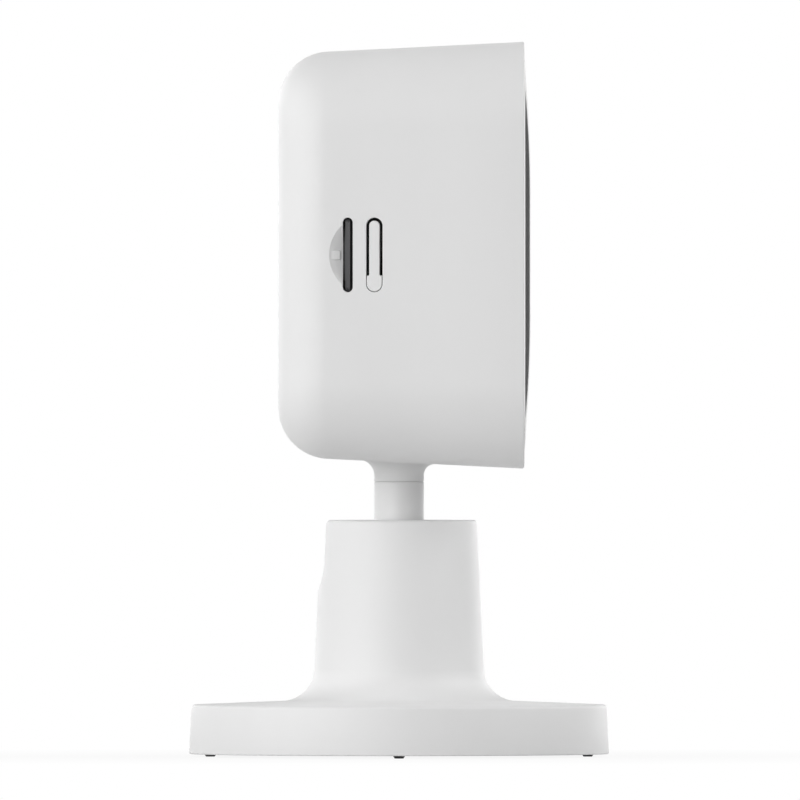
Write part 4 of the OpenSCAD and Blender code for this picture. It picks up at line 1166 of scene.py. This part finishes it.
@dataclass
class Front:
    """Bulged window, clear cover, and what lies just behind them."""

    half: float = 29.775
    corner_r: float = 10.775
    bulge: float = 0.95
    flat_r: float = 9.0
    edge_y: float = 1.5
    cover_t: float = 1.2
    rim: float = 0.22
    rings: int = 30
    drills: tuple[Point3, ...] = ((0.86, -14.5, 24), (0.5, -20.0, 20))
    lamp_at: float = 13.5
    lamp_r: float = 1.3
    lamp_y: float = 5.4
    screw: Fastener = Fastener(1.5, 1.0, 0.68, 4.7)
    screw_at: float = 18.5
    screw_y: float = 8.25

    def crown(self, x: float, z: float) -> float:
        """Depth of the bulged face at one point."""

        def left(v: float) -> float:
            """Share of the bulge left at a distance from the middle."""
            return max(1 - (max(abs(v) - self.flat_r, 0.0) / (self.half - self.flat_r)) ** 2, 0.0)

        return -self.bulge * left(x) * left(z)

    def window(self, place: Matrix) -> Object:
        """The window as nested rounded squares over its bulge, with its two small holes."""
        square = rounded(2 * self.half, 2 * self.half, self.corner_r, 16, 10)
        hole = self.flat_r + 0.05

        def scaled(outline: Outline, share: float) -> list[Point2]:
            """An outline made smaller."""
            return [(x * share, z * share) for x, z in outline]

        def edge(by: float) -> list[Point2]:
            """The window's outline, drawn in a little."""
            return scaled(square, (self.half - by) / self.half)

        def mix(k: float) -> list[Point2]:
            """Outline between the face's edge and the round hole."""
            turns = [(x, z, atan2(z, x)) for x, z in edge(self.rim)]
            return [(x + (hole * cos(a) - x) * k, z + (hole * sin(a) - z) * k) for x, z, a in turns]

        def at(outline: Outline, y: float, follow: float = 0.0) -> list[Point3]:
            """An outline at one depth, or following a share of the bulge."""
            return [(x, y + self.crown(x, z) * follow, z) for x, z in outline]

        rings = [at(edge(0.1), self.edge_y), at(square, self.edge_y - 0.1), at(square, 0.2)]
        rings += [at(edge(0.03), 0.1, 0.2), at(edge(0.1), 0.035, 0.6)]
        rings += [at(mix(i / self.rings), 0.0 if i else 0.005, 1.0) for i in range(self.rings + 1)]
        inner = scaled(mix(1.0), 0.995)
        seat, step_y = scaled(inner, 8.0 / 9.0), self.cover_t - self.bulge
        rings += [at(inner, 0.05 - self.bulge), at(inner, step_y), at(seat, step_y), at(seat, self.edge_y)]
        window = Sketch().loft([*rings, rings[0]], caps=False).made("window_skin", place, 30.0)
        drills = []
        for r, z, sides in self.drills:
            rod = along_y([(0.0, -2.0), (r, -2.0), (r, 3.0), (0.0, 3.0)], sides)
            drills.append(rod.made("drill", place @ Matrix.Translation((0, 0, z))))
        return carved(window, drills, 30.0)

    def cover(self) -> Sketch:
        """Clear disc, flush in the window, with fine bevels."""
        front, r = -self.bulge, self.flat_r
        back = front + self.cover_t - 0.05
        profile = [(0.0, front), (r - 0.25, front), (r - 0.1, front), (r - 0.02, front + 0.04)]
        profile += [(r, front + 0.1), (r, back - 0.05), (r - 0.1, back), (r - 0.25, back), (0.0, back)]
        return along_y(profile, 128)

    def baffle(self) -> Sketch:
        """Cone with light-catching steps between the cover and the lens."""
        mouth_r, mouth_y, narrowing, rise = 7.45, 0.5, 0.22, 0.42
        profile: list[Point2] = []
        for k in range(6):
            r, y = mouth_r - narrowing * k, mouth_y + rise * k
            profile += [(r, y), (r - narrowing, y + 0.06)]
        profile += [(6.2, 3.3), (8.5, 3.3), (8.5, 1.52), (7.85, 1.5), (7.85, 0.25), (7.5, 0.25)]
        return along_y(profile)

    def barrel(self) -> Sketch:
        """Lens barrel with fine ridges round its rim and an iris in its bore."""
        front, shoulder, end = 3.6, 11.2, 17.4
        rim_r, thread_r, bore_r, seat_r = 7.2, 6.0, 4.6, 5.45
        profile = [(6.9, front), (7.14, front + 0.1), (rim_r, front + 0.3)]
        y = front + 0.5
        while y < shoulder - 0.5:
            profile += [(rim_r, y), (rim_r, y + 0.2), (rim_r - 0.12, y + 0.28), (rim_r - 0.12, y + 0.42)]
            y += 0.5
        profile += [(rim_r, shoulder), (thread_r, shoulder)]
        y = shoulder + 0.2
        while y < end - 0.4:
            profile += [(thread_r, y), (thread_r - 0.14, y + 0.18)]
            y += 0.36
        profile += [(thread_r, end), (bore_r, end), (bore_r, 9.6), (2.5, 9.1), (2.4, 9.0), (2.5, 8.9)]
        profile += [(bore_r, 8.3), (bore_r, 7.2), (3.9, 6.6), (3.8, 6.5), (3.9, 6.4), (bore_r, 6.3)]
        profile += [(bore_r, front + 1.6), (seat_r, front + 1.6), (seat_r, front + 0.3), (5.6, front)]
        return along_y(profile)

    def glass(self) -> Sketch:
        """Front element of the lens."""
        r, dome, crown, thick = 5.4, 0.7, 3.8, 1.4
        ball = (r * r + dome * dome) / (2 * dome)
        face = arc((0.0, crown + ball), ball, 270, 270 + degrees(asin(r / ball)), 16)
        return along_y([*face, (r, crown + thick - 0.05), (r - 0.06, crown + thick), (0.0, crown + thick)])

    def lamp(self) -> Sketch:
        """One infrared lamp: a square carrier with a clear dome."""
        r, y = self.lamp_r, self.lamp_y
        dome = [(0.0, y - r), *arc((0.0, y), r, 280, 360, 8), (r, y + 0.2), (0.0, y + 0.2)]
        return slab(rounded(2.8, 2.8, 0.25, 4), y, y + 0.8, 0.06).add(along_y(dome, 28))

    def make(self, build: Build) -> None:
        """Makes the front's pieces."""
        place = build.head
        build.keep(self.window(place), "head", Finish.WINDOW, "window", "front_window")
        for name, sketch, finish, slot, node in (
            ("cover_disc", self.cover(), Finish.COVER, "clear_cover", "lens_cover"),
            ("baffle_steps", self.baffle(), Finish.BLACK, "black_plastic", "lens_baffle"),
            ("barrel_turned", self.barrel(), Finish.DARK_METAL, "black_metal", "lens_barrel"),
            ("lens_dome", self.glass(), Finish.LENS, "lens", "lens_glass"),
        ):
            build.keep(sketch.made(name, place), "head", finish, slot, node)
        build.repeat("lamp_domes", self.lamp().made("lamp"), square_of(self.lamp_at, 0.0), Finish.LAMP,
                     "head", "lamp", "infrared_lamps")
        build.repeat("light_board_fasteners", self.screw.made(-90), square_of(self.screw_at, self.screw_y),
                     Finish.STEEL, "head", "steel", "light_board_screws")


@dataclass
class Boards:
    """Small parts and screws on the main board, and the speaker's cone."""

    board_y: float = 24.3
    back_y: float = 25.5
    screw: Fastener = Fastener(1.9, 1.2, 0.82, 7.3)
    cone_y: float = 28.8
    cone_t: float = 0.22

    def small_parts(self, build: Build) -> None:
        """Scatters small chips and resistors over both faces of the board."""
        for name, (w, d, h), y, (x0, z0), (dx, dz), (across, up) in (
            ("front_chips", (1.6, 0.5, 0.9), self.board_y - 0.25, (-22, 12.5), (3.1, 2.4), (4, 3)),
            ("front_parts", (1.0, 0.45, 0.5), self.board_y - 0.22, (14, -17), (1.7, 1.5), (6, 6)),
            ("back_parts", (1.0, 0.45, 0.5), self.back_y + 0.22, (-12, -24.5), (1.8, 1.4), (4, 3)),
        ):
            chip = block((-w / 2, -d / 2, -h / 2), (w / 2, d / 2, h / 2), 0.05).made("chip")
            places = [(x0 + dx * i, y, z0 + dz * j) for i in range(across) for j in range(up)]
            build.repeat(name, chip, places, Finish.CHIP, "head", "chip")

    def cone(self) -> Sketch:
        """Speaker cone with a dome and a rolled edge."""
        front = [(0.0, 4.45), *oval((0.0, 3.95), 2.9, 0.5, 75, 0, 5), (4.2, 3.62), (9.6, 4.3)]
        front += [*oval((10.8, 4.35), 1.1, 0.28, 180, 0, 9), (12.8, 4.4)]
        back = [(r, max(y - self.cone_t, 3.5)) for r, y in reversed(front)]
        return along_y([*front, *back])

    def make(self, build: Build, shell: HeadShell) -> None:
        """Makes the pieces on the main board and behind it."""
        build.repeat("board_fasteners", self.screw.made(90),
                     square_of(shell.board_screw_at, self.board_y - self.screw.head_h), Finish.STEEL,
                     "head", "steel", "board_screws")
        self.small_parts(build)
        place = build.head @ Matrix.Translation((0, self.cone_y, shell.speaker_z))
        build.keep(self.cone().made("cone_pressed", place), "head", Finish.CONE, "cone", "speaker_cone")


@dataclass
class SidePieces:
    """Memory card and reset key, which show in the head's side."""

    card_t: float = 0.35
    card_back: float = 0.35
    key_gap: float = 0.44
    key_clear: float = 0.08
    key_root: float = 2.5
    key_corner: float = 0.12
    nub_up: float = 3.0

    def card(self, shell: HeadShell) -> Object:
        """Memory card with its notch and grip ridge."""
        end = [(0.9, 5.5), (0.55, 5.43), (0.26, 5.24), (0.07, 4.95), (0.0, 4.6)]
        outline = [(x, -z) for x, z in reversed(end)]
        outline += [(14.4, -5.5), (14.88, -5.38), (15.0, -4.9), (15.0, 3.6), (14.85, 3.95), (13.6, 4.9)]
        outline += [(13.3, 5.05), (9.6, 5.05), (9.3, 5.2), (9.05, 5.42), (8.8, 5.5), *end]
        y, t = shell.card_y, self.card_t
        sketch = Sketch().stacked([(outline, y - t), (outline, y + t)], 1)
        sketch.add(block((1.0, y + t - 0.05, -3.9), (1.9, y + t + 0.16, 3.9), 0.05))
        inside = Matrix.Translation((-(shell.half - y * shell.slope) + self.card_back, 0, 0))
        return sketch.made("card_moulded", shell.place @ inside)

    def key(self, shell: HeadShell) -> Object:
        """Springy tongue: a wide root at the foot, a narrow tongue above it and a nub behind."""
        half, soft = shell.key_w / 2, self.key_corner
        foot, top = -shell.slot_l / 2, shell.slot_l / 2 - self.key_gap
        r, narrow, root = half - self.key_clear, half - self.key_gap, foot + self.key_root
        outline = [*arc((0.0, foot + half), r, 180, 360, 18), (r, root - soft)]
        outline += arc((r - soft, root - soft), soft, 0, 90, 4)[1:]
        outline += [(narrow + 0.1, root), (narrow + 0.03, root + 0.03), (narrow, root + soft)]
        outline += arc((0.0, top - narrow), narrow, 0, 180, 16)
        outline += [(-narrow, root + soft), (-narrow - 0.03, root + 0.03), (-narrow - 0.1, root)]
        outline += arc((soft - r, root - soft), soft, 90, 180, 4)
        levels = [(-1.18, 0.0), (-0.22, 0.0), (-0.12, 0.02), (-0.045, 0.06), (-0.006, 0.11), (-0.006, 0.118)]
        nub = Sketch().turned([(0.0, -2.75), (0.45, -2.75), (0.6, -2.6), (0.6, -1.1), (0.0, -1.1)], 24)
        sketch = Sketch().stacked((shrunk(outline, by) if by else outline, z) for z, by in levels)
        sketch.add(nub, Matrix.Translation((0, self.nub_up, 0)))
        return sketch.made("key_moulded", shell.on_side(shell.key_y))

    def make(self, build: Build, shell: HeadShell) -> None:
        """Makes both pieces."""
        build.keep(self.card(shell), "card", Finish.CARD, "card", "memory_card")
        build.keep(self.key(shell), "key", Finish.SHELL, "white_shell", "reset_key")


# ----------------------------------------------------------------- the stand


@dataclass
class Stand:
    """Disc and pedestal in one moulding, the ball stud and what holds it."""

    pivot_z: float = 29.2
    top_z: float = 35.6
    top_r: float = 11.75
    wall_draft: float = 2.6
    hollow_r: float = 5.0
    disc_r: float = 31.6
    rim_top: float = 7.85
    rim_draft: float = 2.5
    fall: float = 2.2
    foot_z: float = 0.4
    edge_r: float = 0.6
    inner_r: float = 30.2
    inner_z: float = 5.95
    bore_r: float = 9.6
    seat_r: float = 6.05
    ball_r: float = 6.0
    neck_r: float = 3.75
    slot_r: float = 4.25
    lip: float = 0.22
    lean: float = 25.0
    seam_z: float = 41.4
    shank_r: float = 2.0
    shank_top: float = 55.4
    boss_top: float = 50.4
    plate_screw: Fastener = Fastener(1.6, 0.9, 0.82, 4.7, True)
    plate_screw_r: float = 16.8
    plate_screw_angles: Point3 = (90, 230, 310)
    plate_screw_z: float = 0.47
    plug_screw: Fastener = Fastener(1.6, 1.2, 0.82, 6.9)
    plug_screw_r: float = 11.8
    plug_screw_angles: Point3 = (30, 150, 270)
    plug_screw_z: float = 3.0
    feet_r: float = 28.4
    ribs_round: int = 12

    def outline(self) -> list[Point2]:
        """Outer profile from the foot of the rim up to the top's middle."""
        tan_w, tan_d = tan(radians(self.wall_draft)), tan(radians(self.fall))
        cos_w, cos_d = cos(radians(self.wall_draft)), cos(radians(self.fall))
        rim_r = self.disc_r - (self.rim_top - self.foot_z) * tan(radians(self.rim_draft))
        rise = self.top_z - self.rim_top - rim_r * tan_d - self.hollow_r / cos_d
        at_r = (self.top_r + rise * tan_w + self.hollow_r / cos_w) / (1 - tan_w * tan_d)
        at_z = self.rim_top + (rim_r - at_r) * tan_d + self.hollow_r / cos_d
        e = self.edge_r
        foot = arc((self.disc_r - 0.2, self.foot_z + 0.2), 0.2, 270, 360 - self.rim_draft, 3)
        rim = arc((rim_r - e, self.rim_top - e), e, self.rim_draft, 90 - self.fall, 10)
        hollow = arc((at_r, at_z), self.hollow_r, 270 - self.fall, 180 + self.wall_draft, 28)
        top = arc((self.top_r - e, self.top_z - e), e, self.wall_draft, 90, 10)
        disc, wall = between(rim[-1], hollow[0], 4), between(hollow[-1], top[0], 8)
        return [(self.inner_r, self.foot_z), *foot, *rim, *disc, *hollow, *wall, *top, (0.0, self.top_z)]

    def sweep(self) -> Object:
        """Cutter of the room that the neck needs, from the forward lean to folded back."""
        far, steps, a = 40.0, 36, radians(self.lean)
        ahead, out = Vector((-sin(a), cos(a))), Vector((-cos(a), -sin(a)))
        levels: list[tuple[Outline, float]] = []
        for i in range(steps + 1):
            x = -self.slot_r * cos(pi * i / steps)
            h = sqrt(max(self.slot_r**2 - x * x, 0.0)) + 1e-4
            near, corner = out * h, ahead * far + out * h
            loop = [(0.0, -h), (far, -h), (far, far), (corner.x, far + 8), tuple(corner), tuple(near)]
            levels.append((loop, x))
        return Sketch().stacked(levels, 0).made("neck_sweep", Matrix.Translation((0, 0, self.pivot_z)))

    def shell(self) -> Object:
        """The moulding with its bore, ball seat and slot."""
        seat = arc((0.0, self.pivot_z), self.seat_r, 90, 0, 15)
        inside = [(self.bore_r, self.pivot_z), (self.bore_r, self.inner_z), (self.inner_r, self.inner_z)]
        shell = Sketch().turned([*self.outline(), *seat, *inside], 192).made("stand_skin")
        return softened(carved(shell, [self.sweep()], 30.0), self.lip, 38.0, 3)

    def ribs(self) -> Object:
        """Ribs and screw bosses under the disc."""
        sketch = Sketch()
        rib = block((19.2, -0.6, 5.3), (30.4, 0.6, 6.1), 0.08)
        for i in range(self.ribs_round):
            sketch.add(rib, Matrix.Rotation(2 * pi * (i + 0.5) / self.ribs_round, 4, "Z"))
        boss = Sketch().turned([(0.85, 1.97), (2.3, 1.97), (2.4, 2.07), (2.4, 6.4), (0.85, 6.4)], 32)
        outward = Matrix.Translation((self.plate_screw_r, 0, 0))
        for angle in self.plate_screw_angles:
            sketch.add(boss, Matrix.Rotation(radians(angle), 4, "Z") @ outward)
        return sketch.made("stand_ribs")

    def stud(self) -> Object:
        """Ball, neck and shank in one turned piece."""
        r, bore, shank_r = self.neck_r, 2.3, self.shank_r
        profile = arc((0.0, self.pivot_z), self.ball_r, -90, degrees(acos((r + 0.35) / self.ball_r)), 26)
        low = profile[-1][1]
        profile += [(r + 0.12, low + 0.22), (r + 0.02, low + 0.5), (r, low + 0.8)]
        profile += [(r, 36.0), (r, 38.0), (r, 40.0)]
        seam, step = self.seam_z - 0.08, self.boss_top - 0.05
        profile += [(r, seam - 0.07), (r - 0.02, seam - 0.02), (r - 0.07, seam), (r - 0.16, seam)]
        profile += [(r - 0.18, seam + 0.07), (bore, seam + 0.07), (bore, step), (shank_r, step)]
        z = self.boss_top + 0.1
        while z < self.shank_top - 0.3:
            profile += [(shank_r, z), (shank_r - 0.16, z + 0.18)]
            z += 0.36
        profile += [(shank_r - 0.3, self.shank_top), (0.0, self.shank_top)]
        return Sketch().turned(profile, 96).made("stud_turned")

    def foot(self) -> Object:
        """One rubber foot."""
        profile = [(0.0, 0.0), (0.62, 0.0), (0.7, 0.05), (0.88, 0.36), (0.9, 0.4), (0.9, 1.3), (0.8, 1.4)]
        return Sketch().turned([*profile, (0.0, 1.4)], 32).made("foot")

    def make(self, build: Build) -> None:
        """Makes the stand's pieces."""
        build.keep(self.shell(), "stand", Finish.SHELL, "white_shell", "stand_shell")
        build.keep(self.ribs(), "stand", Finish.SHELL, "white_shell")
        build.keep(self.stud(), "stud", Finish.PAINT, "painted_stud", "ball_stud")
        plate = circle_of(self.plate_screw_r, self.plate_screw_z, self.plate_screw_angles)
        plug = circle_of(self.plug_screw_r, self.plug_screw_z, self.plug_screw_angles)
        feet = circle_of(self.feet_r, 0.0, (0, 90, 180, 270))
        for name, one, places, finish, slot, node in (
            ("plate_fasteners", self.plate_screw.made(180), plate, Finish.STEEL, "steel", "plate_screws"),
            ("plug_fasteners", self.plug_screw.made(180), plug, Finish.STEEL, "steel", "retainer_screws"),
            ("feet_moulded", self.foot(), feet, Finish.RUBBER, "rubber", "rubber_feet"),
        ):
            build.repeat(name, one, places, finish, "stand", slot, node)


# ---------------------------------------------------------------- the studio


@dataclass(frozen=True)
class Studio:
    """Pale floor, soft lamps and a level camera on the head's side."""

    lens: float = 1500.0
    sensor: float = 36.0
    across_mm: float = 120.4
    centre: Point3 = (0.0, -0.00014, 0.05366)
    lamp_reach: float = 1.15
    lamp_side: float = 0.7
    lamp_goal_z: float = 0.06
    glow: float = 0.258
    floor_half: float = 9000.0
    flag_box: tuple[Point2, ...] = ((-220, -600), (-1300, -600), (-1300, 1500), (-220, 1500))
    lamps: tuple[tuple[str, float, float, float], ...] = (
        ("key", 30, 3, 5.5),
        ("high_fill", 30, 30, 2.1),
        ("side_low", 60, 3, 2.9),
        ("rear_side", 90, 30, 2.5),
        ("front_fill", -90, 30, 6.5),
        ("far_front", -150, 3, 3.3),
        ("far_rear", 150, 3, 2.2),
    )

    def camera(self) -> None:
        """Level camera far off on the head's side, where perspective hardly shows."""
        data = bpy.data.cameras.new("camera")
        data.lens, data.sensor_width = self.lens, self.sensor
        data.clip_start, data.clip_end = 0.1, 30.0
        held = linked("camera", data)
        away = self.lens * self.across_mm / self.sensor * MM
        held.location = Vector(self.centre) - Vector((away, 0, 0))
        held.rotation_euler = (radians(90), 0, radians(-90))
        bpy.context.scene.camera = held

    def light(self, name: str, turn: float, rise: float, watts: float) -> None:
        """One soft square lamp that points at the object.

        Args:
            name: The lamp's name.
            turn: Degrees round the object from -X towards +Y.
            rise: Degrees above the floor.
            watts: Its power.
        """
        data = bpy.data.lights.new(name, "AREA")
        data.shape, data.size, data.energy = "SQUARE", self.lamp_side, watts
        a, b = radians(turn), radians(rise)
        away = Vector((-cos(a) * cos(b), sin(a) * cos(b), sin(b)))
        lamp = linked(name, data)
        lamp.location = away * self.lamp_reach + Vector((0, 0, self.lamp_goal_z))
        lamp.rotation_euler = away.to_track_quat("Z", "Y").to_euler()

    def seen(self, nodes: Nodes) -> NodeSocket:
        """One for rays that show the background itself: camera, glossy or transmitted."""
        path = nodes.node("ShaderNodeLightPath").outputs
        direct = nodes.maths("MAXIMUM", path["Is Camera Ray"], path["Is Glossy Ray"])
        return nodes.maths("MAXIMUM", direct, path["Is Transmission Ray"])

    def world(self) -> None:
        """White behind the object, with an even glow of its own strength."""
        world = bpy.data.worlds.new("studio")
        bpy.context.scene.world = world
        world.use_nodes = True
        nodes = Nodes(world.node_tree)
        glow, white = (nodes.node("ShaderNodeBackground", Color=(1.0, 1.0, 1.0), Strength=strength)
                       for strength in (self.glow, 1.0))
        mix = nodes.node("ShaderNodeMixShader", self.seen(nodes), glow, white)
        nodes.node("ShaderNodeOutputWorld", Surface=mix)

    def floor(self) -> None:
        """Wide pale floor that shows white and keeps a soft shadow near the object."""
        h = self.floor_half
        corners = ((-h, -h), (h, -h), (h, h), (-h, h))
        floor = Sketch().stacked([(corners, -20.0), (corners, 0.0)]).made("floor")
        material = bpy.data.materials.new("floor_paper")
        material.use_nodes = True
        nodes = Nodes(material.node_tree)
        place = nodes.node("ShaderNodeTexCoord").outputs["Object"]
        away = nodes.node("ShaderNodeVectorMath", place, operation="LENGTH").outputs["Value"]
        fade = nodes.ramp(away, 0.03, 0.12, (0.9, 1.0))
        paper = nodes.node("ShaderNodeBsdfDiffuse", Color=(0.7, 0.7, 0.7))
        shine = nodes.node("ShaderNodeEmission", Strength=1.0)
        share = nodes.maths("MULTIPLY", self.seen(nodes), fade)
        mix = nodes.node("ShaderNodeMixShader", share, paper, shine)
        nodes.node("ShaderNodeOutputMaterial", Surface=mix)
        floor.data.materials.append(material)

    def flag(self) -> None:
        """Dark card far to one side, that only glossy surfaces see."""
        card = Sketch().stacked([(self.flag_box, 3000.0), (self.flag_box, 3010.0)], 0).made("flag")
        cloth = Sheet("flag_cloth")
        cloth.set(Base_Color=(0.25, 0.25, 0.25))
        card.data.materials.append(cloth.material)
        for sight in ("camera", "diffuse", "shadow", "transmission"):
            setattr(card, f"visible_{sight}", False)

    def set_up(self) -> None:
        """Puts the camera, floor, world and lamps in place."""
        self.camera()
        self.floor()
        self.flag()
        self.world()
        for lamp in self.lamps:
            self.light(*lamp)
        bpy.context.scene.view_settings.view_transform = "Standard"


def main() -> None:
    """Builds every sub-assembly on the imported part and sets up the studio."""
    logging.basicConfig(level=logging.INFO, format="%(name)s: %(message)s")
    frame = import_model()
    shell = HeadShell.on_frame()
    build = Build(frame, shell.place)
    Studio().set_up()
    shell.make(build)
    Front().make(build)
    Boards().make(build, shell)
    SidePieces().make(build, shell)
    Stand().make(build)
    build.finish_nodes()
    LOG.info("%d pieces made", build.count)


if __name__ == "__main__":
    main()
